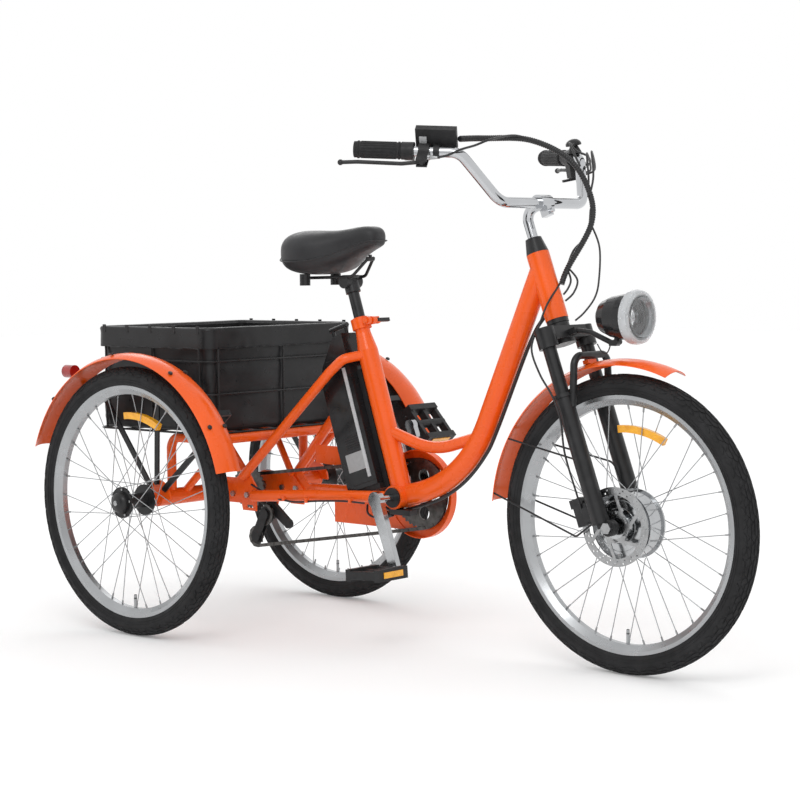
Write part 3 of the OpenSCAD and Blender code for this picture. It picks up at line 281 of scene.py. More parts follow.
class Build:
    """Collects many small solids into one mesh."""

    def __init__(self):
        self.v, self.f = [], []

    def add(self, verts, faces):
        n = len(self.v)
        self.v += [Vector(v) for v in verts]
        self.f += [tuple(i + n for i in f) for f in faces]

    def prism(self, a, b, r0, r1=None, sides=16, cap=True):
        """A round bar from a to b."""
        r1 = r0 if r1 is None else r1
        d = (b - a).normalized()
        s = d.orthogonal().normalized()
        t = d.cross(s)
        ring = []
        for p, r in ((a, r0), (b, r1)):
            for k in range(sides):
                w = 2 * math.pi * k / sides
                ring.append(p + r * (math.cos(w) * s + math.sin(w) * t))
        faces = [(k, (k + 1) % sides, sides + (k + 1) % sides, sides + k) for k in range(sides)]
        if cap:
            faces += [tuple(range(sides)), tuple(range(sides, 2 * sides))]
        self.add(ring, faces)

    def lathe(self, centre, axis, profile, sides=48, closed=False):
        """A turned shape: profile is a list of (distance along the axis, radius)."""
        d = axis.normalized()
        s = d.orthogonal().normalized()
        t = d.cross(s)
        pts = []
        for h, r in profile:
            for k in range(sides):
                w = 2 * math.pi * k / sides
                pts.append(centre + h * d + r * (math.cos(w) * s + math.sin(w) * t))
        n = len(profile)
        faces = []
        for i in range(n if closed else n - 1):
            j = (i + 1) % n
            for k in range(sides):
                q = (k + 1) % sides
                faces.append((i * sides + k, i * sides + q, j * sides + q, j * sides + k))
        if not closed:
            faces += [tuple(range(sides)), tuple((n - 1) * sides + k for k in range(sides))]
        self.add(pts, faces)

    def block(self, centre, ax, ay, az, hx, hy, hz, taper=1.0):
        """A box on three directions with half sizes; its az side is scaled by taper."""
        pts = []
        for k in (-1, 1):
            f = taper if k > 0 else 1.0
            for i, j in ((-1, -1), (1, -1), (1, 1), (-1, 1)):
                pts.append(centre + ax * hx * i * f + ay * hy * j * f + az * hz * k)
        self.add(pts, [(0, 1, 2, 3), (4, 5, 6, 7), (0, 1, 5, 4), (1, 2, 6, 5), (2, 3, 7, 6),
                       (3, 0, 4, 7)])

    def make(self, name, body, material, **kw):
        return piece(name, self.v, self.f, body, material, **kw)


def smooth_path(points, steps=8):
    """A curve through given points."""
    out = []
    n = len(points)
    for i in range(n - 1):
        a, b = points[max(i - 1, 0)], points[i]
        c, d = points[i + 1], points[min(i + 2, n - 1)]
        for s in range(steps):
            t = s / steps
            out.append(0.5 * ((2 * b) + (c - a) * t + (2 * a - 5 * b + 4 * c - d) * t * t
                              + (3 * b - a - 3 * c + d) * t * t * t))
    out.append(points[-1])
    return out


def tube(build, points, r, sides=10, ribs=0.0, rib_pitch=0.004):
    """A cable along a path; ribs makes a spiral wrap."""
    path = points
    if ribs:
        fine = [path[0]]
        for a, b in zip(path, path[1:]):
            n = max(1, round((b - a).length / (rib_pitch / 2)))
            fine += [a.lerp(b, (i + 1) / n) for i in range(n)]
        path = fine
    rings = []
    up = Vector((0.31, 0.83, 0.46))
    for i, p in enumerate(path):
        d = (path[min(i + 1, len(path) - 1)] - path[max(i - 1, 0)]).normalized()
        s = d.cross(up).normalized()
        t = d.cross(s)
        rr = r + (ribs if i % 2 else 0)
        rings += [p + rr * (math.cos(2 * math.pi * k / sides) * s
                            + math.sin(2 * math.pi * k / sides) * t) for k in range(sides)]
    n = len(path)
    faces = [(i * sides + k, i * sides + (k + 1) % sides,
              (i + 1) * sides + (k + 1) % sides, (i + 1) * sides + k)
             for i in range(n - 1) for k in range(sides)]
    faces += [tuple(range(sides)), tuple((n - 1) * sides + k for k in range(sides))]
    build.add(rings, faces)


X, Y, Z = Vector((1, 0, 0)), Vector((0, 1, 0)), Vector((0, 0, 1))


# ------------------------------------------------------------------------------ tyres
def tyre(name, centre, body, node):
    """Carcass with rows of small blocks standing on it."""
    b = Build()
    ring_r, outer, skin = 0.279, 0.025, 0.0232
    side = [math.radians(a) for a in range(-136, 137, 8)]
    profile = [(skin * math.sin(a), ring_r + skin * math.cos(a)) for a in side]
    b.lathe(centre, Y, profile, sides=144, closed=True)
    rows = [(-66, 7, 72, 0), (-46, 8, 96, 0.5), (-28, 7, 96, 0), (-10, 6.5, 96, 0.5),
            (10, 6.5, 96, 0), (28, 7, 96, 0.5), (46, 8, 96, 0), (66, 7, 72, 0.5)]
    for phi, half, count, offset in rows:
        for k in range(count):
            w = 2 * math.pi * (k + offset) / count
            dw = 2 * math.pi / count * (0.36 if abs(phi) < 60 else 0.27)
            lo, hi = [], []
            for u, v in ((-1, -1), (1, -1), (1, 1), (-1, 1)):
                for target, rr, f in ((lo, skin - 0.0004, 1.0), (hi, outer, 0.86)):
                    p = math.radians(phi + u * half * f)
                    a = w + v * dw * f + (0.012 * u if k % 2 else -0.012 * u)
                    rad = ring_r + rr * math.cos(p)
                    target.append(centre + Vector((rad * math.cos(a), rr * math.sin(p),
                                                   rad * math.sin(a))))
            b.add(lo + hi, [(4, 5, 6, 7), (0, 1, 5, 4), (1, 2, 6, 5), (2, 3, 7, 6),
                            (3, 0, 4, 7)])
    # thin moulded rings on the sidewalls
    for s in (-1, 1):
        for a in (98, 112):
            p = math.radians(a)
            c = (s * (skin + 0.0003) * math.sin(p), ring_r + (skin + 0.0003) * math.cos(p))
            loop = [(c[0] + 0.0007 * math.cos(q), c[1] + 0.0007 * math.sin(q))
                    for q in (0, 1.57, 3.14, 4.71)]
            b.lathe(centre, Y, loop, sides=96, closed=True)
    b.make(name, body, "tyre_rubber", stands_for=(node,))


FRONT = wheel_at("front_wheel_spin")
RIGHT = wheel_at("right_wheel_spin")
LEFT = wheel_at("left_wheel_spin")
tyre("tyre_front_treaded", FRONT, "front_wheel", "front_tyre")
tyre("tyre_right_treaded", RIGHT, "right_wheel", "right_tyre")
tyre("tyre_left_treaded", LEFT, "left_wheel", "left_tyre")


def wheel_trim(name, centre, body, hub_y, hub_r, steps):
    """Spoke nipples and the valve with its cap."""
    b = Build()
    rim_in = 0.242
    step = math.radians(20)
    for k in range(9):
        for f in (0, 1):
            for s in (-1, 1):
                a = 2 * k * step + f * step / 2 + (step if s > 0 else 0)
                e = a + s * steps * step
                y = hub_y[f] + s * 0.0016
                p = centre + Vector((hub_r * math.cos(a), y, hub_r * math.sin(a)))
                q = centre + Vector(((rim_in + 0.001) * math.cos(e),
                                     -0.0025 if f == 0 else 0.0025,
                                     (rim_in + 0.001) * math.sin(e)))
                d = (p - q).normalized()
                b.prism(q, q + d * 0.011, 0.0021, 0.0018, sides=8)
    b.make(name + "_nipples", body, "steel")
    v = Build()
    p = centre + Vector((0, 0, -rim_in + 0.030))
    v.lathe(p, Vector((0, 0, -1)), [(0, 0.0022), (0.001, 0.0034), (0.010, 0.0036), (0.012, 0.0026),
                    (0.016, 0.0026), (0.031, 0.0036)], sides=16)
    v.make(name + "_valve", body, "black_plastic")


wheel_trim("front_wheel_trim", FRONT, "front_wheel", (-0.020, 0.028), 0.0722, 1)
for nm, c, body in (("right_wheel_trim", RIGHT, "right_wheel"), ("left_wheel_trim", LEFT, "left_wheel")):
    wheel_trim(nm, c, body, (-0.033, 0.033), 0.0362, 3)


# ------------------------------------------------------------------------------ saddle
def saddle():
    """A wide padded saddle, lofted from cross-sections, with a sewn side seam."""
    # forward position, half width, top, bottom of each section, in millimetres
    shape = [(223, 56, 886, 840), (228, 80, 898, 822), (242, 95, 906, 812), (266, 102, 909, 808),
             (296, 100, 909, 808), (326, 87, 908, 813), (354, 67, 908, 825), (382, 50, 911, 840),
             (408, 40, 915, 852), (432, 34, 917, 862), (450, 28, 914, 868), (461, 17, 903, 874)]
    b = Build()
    sides = 40
    rows = []
    for x, w, top, low in shape:
        mid, hh = (top + low) / 2, (top - low) / 2
        ring = []
        for k in range(sides):
            a = 2 * math.pi * k / sides
            c, n = math.cos(a), math.sin(a)
            px = w * math.copysign(abs(c) ** 0.72, c)
            flat = 0.8 if n > 0 else 0.62
            pz = hh * math.copysign(abs(n) ** flat, n)
            if n > 0:
                # a shallow channel along the middle and a crown on each side
                pz -= 4.5 * math.exp(-(px / 16) ** 2) * (1 if x < 390 else 0.4)
            ring.append(at(x, px, mid + pz))
        rows.append(ring)
    pts = [p for r in rows for p in r]
    faces = [(i * sides + k, i * sides + (k + 1) % sides,
              (i + 1) * sides + (k + 1) % sides, (i + 1) * sides + k)
             for i in range(len(shape) - 1) for k in range(sides)]
    faces += [tuple(range(sides)), tuple((len(shape) - 1) * sides + k for k in range(sides))]
    o = piece("saddle_padded", pts, faces, "seat", "saddle_cover", stands_for=("saddle",))
    sub = o.modifiers.new("round", "SUBSURF")
    sub.levels = sub.render_levels = 2
    # piping where the cover meets the base
    seam = Build()
    left, right = [], []
    for x, w, top, low in shape:
        z = low + (top - low) * 0.3
        k = w * 0.985
        left.append(at(x, k, z))
        right.append(at(x, -k, z))
    loop = left + list(reversed(right))
    path = smooth_path(loop + [loop[0]], 6)
    tube(seam, path, 0.0016, sides=8)
    seam.make("saddle_piping", "seat", "saddle_cover")


saddle()


# ------------------------------------------------------------------------ basket liner
BASKET = dict(x0=-230.0, x1=150.0, y=235.0, z0=454.5, z1=686.5)


def liner():
    """A soft vinyl box inside the wires, bulging between them, with its edge folded over."""
    x0, x1, y1 = BASKET["x0"] + 5, BASKET["x1"] - 5, BASKET["y"] - 5
    z0, z1 = BASKET["z0"] + 3.5, BASKET["z1"]
    r = 22.0
    # outline of the box, walked at an even step
    line = []
    for cx, cy, a0 in ((x1 - r, y1 - r, 0), (x0 + r, y1 - r, 90), (x0 + r, -y1 + r, 180),
                       (x1 - r, -y1 + r, 270)):
        for k in range(9):
            a = math.radians(a0 + 90 * k / 8)
            line.append((cx + r * math.cos(a), cy + r * math.sin(a), math.cos(a), math.sin(a)))
    dense = []
    n = len(line)
    for i in range(n):
        p, q = line[i], line[(i + 1) % n]
        d = math.hypot(q[0] - p[0], q[1] - p[1])
        m = max(1, round(d / 7))
        for k in range(m):
            t = k / m
            nx, ny = p[2] * (1 - t) + q[2] * t, p[3] * (1 - t) + q[3] * t
            l = math.hypot(nx, ny)
            dense.append((p[0] + (q[0] - p[0]) * t, p[1] + (q[1] - p[1]) * t, nx / l, ny / l))
    n = len(dense)
    wires = (z0, z0 + 0.38 * 232, z0 + 0.7 * 232, z1)

    def crease(x, y, z, k):
        v = Vector((x * 0.011, y * 0.011, z * 0.02 + k))
        big = noise.noise(v)
        ridged = 1 - abs(noise.noise(v * 2.3 + Vector((9, 3, 5)))) * 2
        return 4.2 * big + 3.2 * max(0.0, ridged) ** 3 * noise.noise(v * 0.7)

    rows, verts = [], []

    def ring(z, offset, wobble, k=0.0):
        out = []
        for x, y, nx, ny in dense:
            w = wobble * crease(x, y, z, k)
            o = offset + w
            out.append(len(verts))
            verts.append(at(x + nx * o, y + ny * o, z + (0.35 * w if wobble < 0.9 else 0)))
        rows.append(out)

    # inside, from the floor up
    steps = 26
    for i in range(steps + 1):
        t = i / steps
        z = z0 + 4 + (z1 - z0 - 4) * t
        ring(z, -6.0 if i else -12.0, 0.75 * math.sin(math.pi * min(1, t * 1.05)) + 0.12, 3.0)
    # over the top wire and down outside as a hem
    for k in range(7):
        a = math.pi * (1 - k / 6)
        ring(z1 + 1.0 + 5.6 * math.sin(a), 4.6 + 6.6 * math.cos(a) - 2, 0.25, 3.0)
    for z in (8, 17, 26, 34, 41):
        ring(z1 - z, 8.0 + 0.02 * z, 0.42, 3.4)
    for z in (41.5, 34, 26, 17, 9):
        ring(z1 - z, 6.4, 0.42, 3.4)
    # outside wall, from under the wire down to the floor, bulging between the wires
    for i in range(30):
        t = i / 29
        z = z1 - 8 - (z1 - 8 - z0) * t
        gap = min(abs(z - w) for w in wires)
        bulge = 2.4 * min(1, gap / 22)
        ring(z, -2.2 + bulge - (4 if i == 29 else 0), 0.45 * min(1, gap / 16) + 0.1, 3.0)
    faces = []
    for a, b in zip(rows, rows[1:]):
        for k in range(n):
            q = (k + 1) % n
            faces.append((a[k], a[q], b[q], b[k]))
    faces.append(tuple(rows[-1]))
    faces.append(tuple(rows[0]))
    o = piece("liner_soft", verts, faces, "frame", "liner_vinyl", stands_for=("basket_liner",))
    # the walls' run and height
    around = 2 * (x1 - x0 + 2 * y1) / 1000
    height = (z1 - z0) / 1000
    return o, around, height


liner_piece, liner_around, liner_height = liner()

# binding sewn along the lower edge of the hem
stitch = Build()
for s in (-1, 1):
    y = s * (BASKET["y"] + 5.4)
    tube(stitch, [at(x, y + s * 0.6 * math.sin(x * 0.21),
                     BASKET["z1"] - 40 + 1.2 * math.sin(x * 0.09))
                  for x in range(-205, 126, 6)], 0.0011, sides=6)
for xx, s in ((BASKET["x0"] - 5.4, -1), (BASKET["x1"] + 5.4, 1)):
    tube(stitch, [at(xx + s * 0.6 * math.sin(y * 0.23), y, BASKET["z1"] - 40 + 1.2 * math.sin(y * 0.08))
                  for y in range(-208, 209, 6)], 0.0011, sides=6)
stitch.make("liner_hem_cord", "frame", "liner_vinyl")


# ------------------------------------------------------------------------------- chain
RING, COG = ((520, 320), 76.81, 1), ((0, 304), 28.3, 1)
JUP, JLOW = ((30, 238), 22.23, -1), ((0, 182), 22.23, 1)


def chain_path():
    """Pitch line of the chain as a closed list of points in x and z, in millimetres."""
    def lean(p, q):
        return math.atan2(q[1] - p[1], q[0] - p[0])

    def polar(c, r, a):
        return (c[0] + r * math.cos(a), c[1] + r * math.sin(a))

    def dist(p, q):
        return math.hypot(q[0] - p[0], q[1] - p[1])

    (rc, rr, _), (cc, cr, _), (uc, jr, _), (lc, _, _) = RING, COG, JUP, JLOW
    half = math.pi / 2
    top = lean(cc, rc) + half + math.asin((rr - cr) / dist(rc, cc))
    low = lean(lc, rc) - half - math.asin((rr - jr) / dist(rc, lc))
    mid = lean(lc, uc) + math.acos(2 * jr / dist(uc, lc))
    cog = lean(uc, cc) - math.acos((jr + cr) / dist(cc, uc))

    def arc(c, r, a0, a1):
        n = max(2, round(abs(a1 - a0) / 0.05))
        return [polar(c, r, a0 + (a1 - a0) * i / n) for i in range(n + 1)]

    pts = [polar(cc, cr, top), polar(rc, rr, top)]
    pts += arc(rc, rr, top, low)[1:]
    pts += arc(lc, jr, low + 2 * math.pi, mid)
    pts += arc(uc, jr, mid - math.pi, cog)
    pts += arc(cc, cr, cog + math.pi, top)
    return pts


def even_points(pts, count):
    """count points at even spacing along a closed line."""
    closed = pts + [pts[0]]
    run = [0.0]
    for p, q in zip(closed, closed[1:]):
        run.append(run[-1] + math.hypot(q[0] - p[0], q[1] - p[1]))
    out = []
    j = 0
    for i in range(count):
        s = run[-1] * i / count
        while run[j + 1] < s:
            j += 1
        t = (s - run[j]) / max(1e-9, run[j + 1] - run[j])
        out.append((closed[j][0] + (closed[j + 1][0] - closed[j][0]) * t,
                    closed[j][1] + (closed[j + 1][1] - closed[j][1]) * t))
    return out, run[-1]


def chain():
    """Plates and rollers along the pitch line."""
    line = chain_path()
    _, length = even_points(line, 10)
    count = 2 * round(length / 12.7 / 2)
    pins, _ = even_points(line, count)
    b = Build()
    for i, (x, z) in enumerate(pins):
        p = at(x, 54, z)
        b.prism(p - Y * 0.0032, p + Y * 0.0032, 0.0018, sides=10)
        b.prism(p - Y * 0.0012, p + Y * 0.0012, 0.0038, sides=12)
        x2, z2 = pins[(i + 1) % count]
        q = at(x2, 54, z2)
        d = (q - p).normalized()
        u = d.cross(Y)
        off = 0.0026 if i % 2 else 0.0017
        for s in (-1, 1):
            y0, y1 = s * (off - 0.0004), s * (off + 0.0004)
            loop = []
            for c, a0 in ((q, -90), (p, 90)):
                for k in range(5):
                    a = math.radians(a0 + 45 * k)
                    loop.append(c + 0.0039 * (math.cos(a) * d + math.sin(a) * u))
            lo = [v + Y * y0 for v in loop]
            hi = [v + Y * y1 for v in loop]
            n = len(loop)
            b.add(lo + hi, [tuple(range(n)), tuple(range(n, 2 * n))]
                  + [(k, (k + 1) % n, n + (k + 1) % n, n + k) for k in range(n)])
    b.make("chain_links", "frame", "dark_steel", stands_for=("chain",))


chain()


def teeth(name, centre, count, body, y, turn=0.0):
    """A toothed rim that fills the space between a sprocket's disc and the chain."""
    pitch_r = count * 12.7 / (2 * math.pi)
    b = Build()
    inner, outer = [], []
    for k in range(count * 4):
        a = turn + 2 * math.pi * (k + 0.5) / (count * 4)
        r = pitch_r + (-0.6 if k % 4 in (0, 3) else -4.2)
        outer.append(Vector((r / 1000 * math.cos(a), 0, r / 1000 * math.sin(a))))
        inner.append(Vector(((pitch_r - 5.2) / 1000 * math.cos(a), 0,
                             (pitch_r - 5.2) / 1000 * math.sin(a))))
    n = len(outer)
    pts = [centre + v + Y * (y + s * 0.0009) for s in (-1, 1) for v in inner + outer]
    faces = []
    for k in range(n):
        q = (k + 1) % n
        faces += [(k, q, n + q, n + k), (2 * n + k, 2 * n + q, 3 * n + q, 3 * n + k),
                  (n + k, n + q, 3 * n + q, 3 * n + k), (k, q, 2 * n + q, 2 * n + k)]
    b.add(pts, faces)
    b.make(name, body, "dark_steel", smooth=False)


BB = wheel_at("crank_spin")
AXLE = Vector((LEFT.x, 0, LEFT.z))
teeth("chainring_teeth", Vector((BB.x, 0, BB.z)), 38, "crank", 0.054)
for i, t in enumerate((14, 16, 18, 21, 24, 26)):
    teeth(f"cassette_teeth_{i + 1}", AXLE, t, "cassette_set", 0.054 - 0.005 * i)
for nm, jn, bd in (("jockey_teeth_upper", "upper_jockey_spin", "upper_jockey"),
                   ("jockey_teeth_lower", "lower_jockey_spin", "lower_jockey")):
    c = wheel_at(jn)
    teeth(nm, Vector((c.x, 0, c.z)), 11, bd, 0.054)


# -------------------------------------------------------------------- handlebar controls
def grip_dirs(side):
    """Directions of the grip frame: forward and out, down, inward along the bar."""
    o = grip(0, 0, 0, side)
    return tuple((grip(*[60 * (i == k) for i in range(3)], side) - o).normalized()
                 for k in range(3))


def grips():
    for side, name, length in ((-1, "right", 92), (1, "left", 122)):
        n, d, e = grip_dirs(side)
        b = Build()
        for k in range(18):
            a = 2 * math.pi * k / 18
            u = math.cos(a) * n + math.sin(a) * d
            b.prism(grip(0, 0, 10, side) + 0.0163 * u, grip(0, 0, length - 10, side) + 0.0163 * u,
                    0.0013, sides=8)
        c = grip(0, 0, 0, side)
        for z in (2, length - 7):
            b.lathe(c + e * z / 1000, e, [(0, 0.0164), (0.001, 0.018), (0.004, 0.018),
                                          (0.005, 0.0164), (0.004, 0.016), (0.001, 0.016)],
                    closed=True)
        b.lathe(c - e * 0.0052, e, [(0, 0.004), (0.0006, 0.0125), (0.0014, 0.015)])
        b.make(f"grip_ridges_{name}", "fork", "grip_rubber")


def control_details():
    """Screen, keys, clamp bolts, a bell and the marks of the twist shifter."""
    n, d, e = grip_dirs(-1)
    q = math.sqrt(0.5)

    def disp(u, v, z):
        return grip(q * (u + v), q * (v - u), z)

    du, dv = q * (n - d), q * (n + d)
    b = Build()
    b.block(disp(16.5, -33.3, 164), du, e, dv, 0.019, 0.031, 0.0007)
    b.make("display_screen", "fork", "screen")
    b = Build()
    for k, h in enumerate((-9, 0, 9)):
        b.block(disp(16.5 + h, -33.6, 126.5), du, e, dv, 0.0032, 0.0032, 0.0012)
    b.block(disp(16.5, -33.2, 160.5), du, e, dv, 0.0215, 0.0395, 0.0004)
    b.make("display_keys", "fork", "black_plastic", bevel=0.0004)
    b = Build()
    b.block(disp(14, -16.6, 134), du, e, dv, 0.010, 0.0075, 0.0006)
    b.make("display_back_pad", "fork", "grey_strip", bevel=0.0003)
    for side, name in ((-1, "right"), (1, "left")):
        n, d, e = grip_dirs(side)
        b = Build()
        for z in (133, 145):
            c = grip(-11.6, -11.6, z, side)
            w = (-n - d).normalized()
            b.lathe(c - w * 0.001, w, [(0, 0.0032), (0.0028, 0.0032), (0.0033, 0.0026), (0.0033, 0.0015),
                                       (0.0018, 0.0014)], sides=16)
        c = grip(24, 27, 139, side)
        w = (d - n).normalized()
        b.lathe(c + w * 0.0055, w, [(0, 0.0055), (0.0022, 0.0055), (0.003, 0.0045)], sides=6)
        b.make(f"lever_bolts_{name}", "fork", "steel")
        b = Build()
        b.lathe(grip(34, 20, 152, side), e, [(0, 0.0055), (0.004, 0.006), (0.006, 0.0045),
                                              (0.013, 0.0036), (0.02, 0.0026)], sides=20)
        b.make(f"cable_adjuster_{name}", "fork", "steel")
    n, d, e = grip_dirs(1)
    b = Build()
    c = grip(0, -27.5, 186, 1)
    b.lathe(c, -d, [(0, 0.0165), (0.001, 0.0172), (0.005, 0.0168), (0.0095, 0.0138), (0.0128, 0.009),
                    (0.0142, 0.003)])
    b.prism(c + e * 0.012 - d * 0.002, c + e * 0.026 - d * 0.004, 0.0022, 0.0032, sides=10)
    b.make("bell_dome", "fork", "black_metal")
    b = Build()
    for k in range(9):
        b.block(grip(-10 + 3.2 * k, 42.4, 156, 1), n, e, d, 0.0009, 0.004, 0.0006)
    b.make("shifter_marks", "fork", "grey_strip")


grips()
control_details()


# ------------------------------------------------------------------------------- cables
def cable(name, points, r, body, material="cable_black", to_body=None, turn=None, **kw):
    b = Build()
    tube(b, smooth_path(points, 7), r, **kw)
    o = b.make(name, None if to_body else body, material, slot="cable_black")
    if to_body:
        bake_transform(o)
    return o


LOOM = [(34.8, -190.8, 233.4), (34, -110, 238), (62, 0, 227), (88, 78, 177), (100, 98, 101), (92, 82, 30),
        (42, 30, -46), (25.5, 15, -76)]
loom_points = smooth_path([steer(x, y, HEAD_TOP + z) for x, y, z in LOOM], 10)
wrap = Build()
tube(wrap, loom_points, 0.0054, sides=14, ribs=0.0011, rib_pitch=0.0052)
wrap.make("loom_wrap", "fork", "cable_black", stands_for=("bar_loom",))

cable("brake_cable_front", [steer(96, 90, HEAD_TOP + 62), steer(76, 80, HEAD_TOP + 12),
                            steer(48, 56, HEAD_TOP - 12), steer(31, 16, HEAD_TOP - 66),
                            steer(12, -32, HEAD_TOP - 112), steer(-8, -52, HEAD_TOP - 150)],
      0.0021, "fork")
cable("brake_cable_leg", [steer(-8, -52, HEAD_TOP - 150), steer(-17, -88, HEAD_TOP - 196),
                          steer(-14, -90, HEAD_TOP - 252), steer(0, -89, HEAD_TOP - 304),
                          steer(2, -88, HEAD_TOP - 356), steer(-14, -84, HEAD_TOP - 420),
                          steer(-26, -68, HEAD_TOP - 500), steer(-34, -56, HEAD_TOP - 548)],
      0.0021, "fork", to_body="lowers",
      turn=(steer(-14, -88, HEAD_TOP - 200), steer(-14, -88, HEAD_TOP - 340)))
cable("lamp_cable", [steer(92, 82, HEAD_TOP + 30), steer(94, 84, HEAD_TOP - 22),
                     steer(82, 66, HEAD_TOP - 88), steer(71, 50, HEAD_TOP - 122),
                     steer(50, 30, HEAD_TOP - 146), steer(34, 13, HEAD_TOP - 158)], 0.0020, "fork")
for k, pts in enumerate((((42, 30, -46), (50, 38, -76), (40, 27, -100), (24, 13, -112)),
                         ((40, 29, -48), (40, 30, -72), (33, 22, -88), (24, 13, -98)))):
    cable(f"frame_lead_{k + 1}", [steer(x, y, HEAD_TOP + z) for x, y, z in pts], 0.0021, "fork")
cable("lamp_wire", [steer(74, 7, HEAD_TOP - 222), steer(80, 6, HEAD_TOP - 240),
                    steer(92, 5, HEAD_TOP - 247), steer(104, 4, HEAD_TOP - 238),
                    steer(107, 4, HEAD_TOP - 229)], 0.0013, "fork")
for side, name in ((-1, "right"), (1, "left")):
    pts = [grip(34, 20, 168, side), grip(30, 14, 190, side), grip(16, -2, 214, side),
           steer(50, side * 168, HEAD_TOP + 214), steer(66, side * 130, HEAD_TOP + 222)]
    pts += ([steer(60, -40, HEAD_TOP + 236), steer(72, 20, HEAD_TOP + 216)] if side < 0 else
            [steer(92, 104, HEAD_TOP + 160)])
    cable(f"lever_cable_{name}", pts, 0.0024, "fork")
for k, (dx, dy) in enumerate(((6, 4), (-4, 8))):
    cable(f"shift_cable_{k + 1}", [grip(10 + dx, 40 - 8 * k, 176, 1), grip(26 + dx, 30, 204, 1),
                                   steer(96 + dx, 150 - dy, HEAD_TOP + 190),
                                   steer(104 + dx, 118 - dy, HEAD_TOP + 130),
                                   steer(99, 98 - dy, HEAD_TOP + 88)], 0.0022, "fork")
cable("gear_cable", [at(127, -86, 328), at(160, -86, 316), at(202, -86, 303), at(262, -84, 297),
                     at(330, -77, 303), at(400, -68, 307), at(455, -58, 305)], 0.0022, "frame")
clip = Build()
for x, y, z in ((232, -84.5, 303), (300, -81, 303), (420, -65, 309)):
    c = at(x, y, z)
    clip.block(c, X, Y, Z, 0.0035, 0.005, 0.0055)
clip.make("cable_clips", "frame", "tie_orange", slot="orange_paint", bevel=0.0008)


# ---------------------------------------------------------------------------- headlamp
def headlamp():
    """A dark bowl, a projector lens and a clear moulded ring."""
    c = steer(128, 0, CROWN_TOP - 72) + Vector((-0.042, 0, 0.050))
    b = Build()
    b.lathe(c, X, [(0.022, 0.004), (0.030, 0.018), (0.040, 0.027), (0.056, 0.0345), (0.076, 0.0385),
                   (0.076, 0.0400), (0.055, 0.0360), (0.038, 0.0285), (0.028, 0.020),
                   (0.020, 0.005)], closed=True)
    b.make("lamp_bowl", "headlamp", "black_metal")
    b = Build()
    b.lathe(c, X, [(0.034, 0.016), (0.052, 0.0185), (0.060, 0.0180), (0.067, 0.0150),
                   (0.071, 0.0090), (0.0725, 0.0030)])
    b.make("lamp_projector", "headlamp", "chrome")
    b = Build()
    b.lathe(c, X, [(0.050, 0.0190), (0.064, 0.0210), (0.064, 0.0245), (0.050, 0.0225)],
            closed=True)
    b.make("lamp_projector_ring", "headlamp", "rim_metal")
    b = Build()
    b.lathe(c, X, [(0.079, 0.0425), (0.096, 0.0410), (0.1005, 0.0435), (0.1015, 0.0480),
                   (0.0985, 0.0530), (0.090, 0.0552), (0.082, 0.0545), (0.079, 0.0510)],
            sides=96, closed=True)
    for k in range(36):
        a = 2 * math.pi * k / 36
        u = math.cos(a) * Y + math.sin(a) * Z
        b.prism(c + 0.0445 * u + X * 0.1012, c + 0.0515 * u + X * 0.0998, 0.0006, sides=6)
    b.make("lamp_ring", "headlamp", "clear_bezel", slot="lamp_glass")


headlamp()


# ------------------------------------------------------------------------ wheel details
def bolts(build, centre, axis, radius, count, r, h, turn=0.0, sides=6):
    s = axis.orthogonal().normalized()
    t = axis.cross(s)
    for k in range(count):
        a = turn + 2 * math.pi * k / count
        c = centre + radius * (math.cos(a) * s + math.sin(a) * t)
        build.lathe(c, axis, [(0, r), (h * 0.8, r), (h, r * 0.8)], sides=sides)


MOTOR_FACES = ((-0.0262, -1), (0.0342, 1))
b = Build()
for y, s in MOTOR_FACES:
    bolts(b, FRONT + Y * y, s * Y, 0.060, 8, 0.0042, 0.003)
bolts(b, FRONT + Y * -0.0442, -Y, 0.029, 6, 0.0042, 0.0022, turn=0.7)
b.make("motor_bolts", "front_wheel", "steel")
b = Build()
for y, s in MOTOR_FACES:
    for r in (0.036, 0.052, 0.067):
        b.lathe(FRONT + Y * y, s * Y, [(0, r - 0.0012), (0.0006, r - 0.0006), (0.0006, r + 0.0006),
                                       (0, r + 0.0012)], sides=72, closed=True)
b.make("motor_rings", "front_wheel", "polished_metal")
for nm, c, body in (("right", RIGHT, "right_wheel"), ("left", LEFT, "left_wheel")):
    s = -1 if nm == "right" else 1
    b = Build()
    b.lathe(c + Y * s * 0.0405, s * Y, [(0, 0.0235), (0.004, 0.0225), (0.009, 0.0170),
                                        (0.0115, 0.0100), (0.012, 0.004)])
    b.lathe(c + Y * s * 0.0346, s * Y, [(0, 0.0350), (0.0012, 0.0345), (0.0012, 0.0330),
                                        (0, 0.0325)], closed=True)
    b.make(f"hub_cap_{nm}", body, "black_metal")
    b = Build()
    b.lathe(c + Y * s * 0.0515, s * Y, [(0, 0.0062), (0.0024, 0.0060), (0.0036, 0.0040)])
    bolts(b, c + Y * s * 0.0372, s * Y, 0.030, 5, 0.0028, 0.0016)
    b.make(f"hub_bolt_{nm}", body, "steel")


# ------------------------------------------------------------------------------- pedals
for nm, s in (("right", -1), ("left", 1)):
    c = wheel_at(f"{nm}_pedal_spin")
    c = Vector((c.x, s * 0.150, c.z))
    tip = math.radians(4 if s < 0 else -48)
    fx = Vector((math.cos(tip), 0, math.sin(tip)))
    fz = Vector((-math.sin(tip), 0, math.cos(tip)))
    b = Build()
    for k in (-1, 1):
        b.block(c + fx * (k * 0.0485), fx, Y, fz, 0.0012, 0.030, 0.0065)
    b.make(f"pedal_reflectors_{nm}", f"{nm}_pedal_set", "amber_plastic", bevel=0.0005)


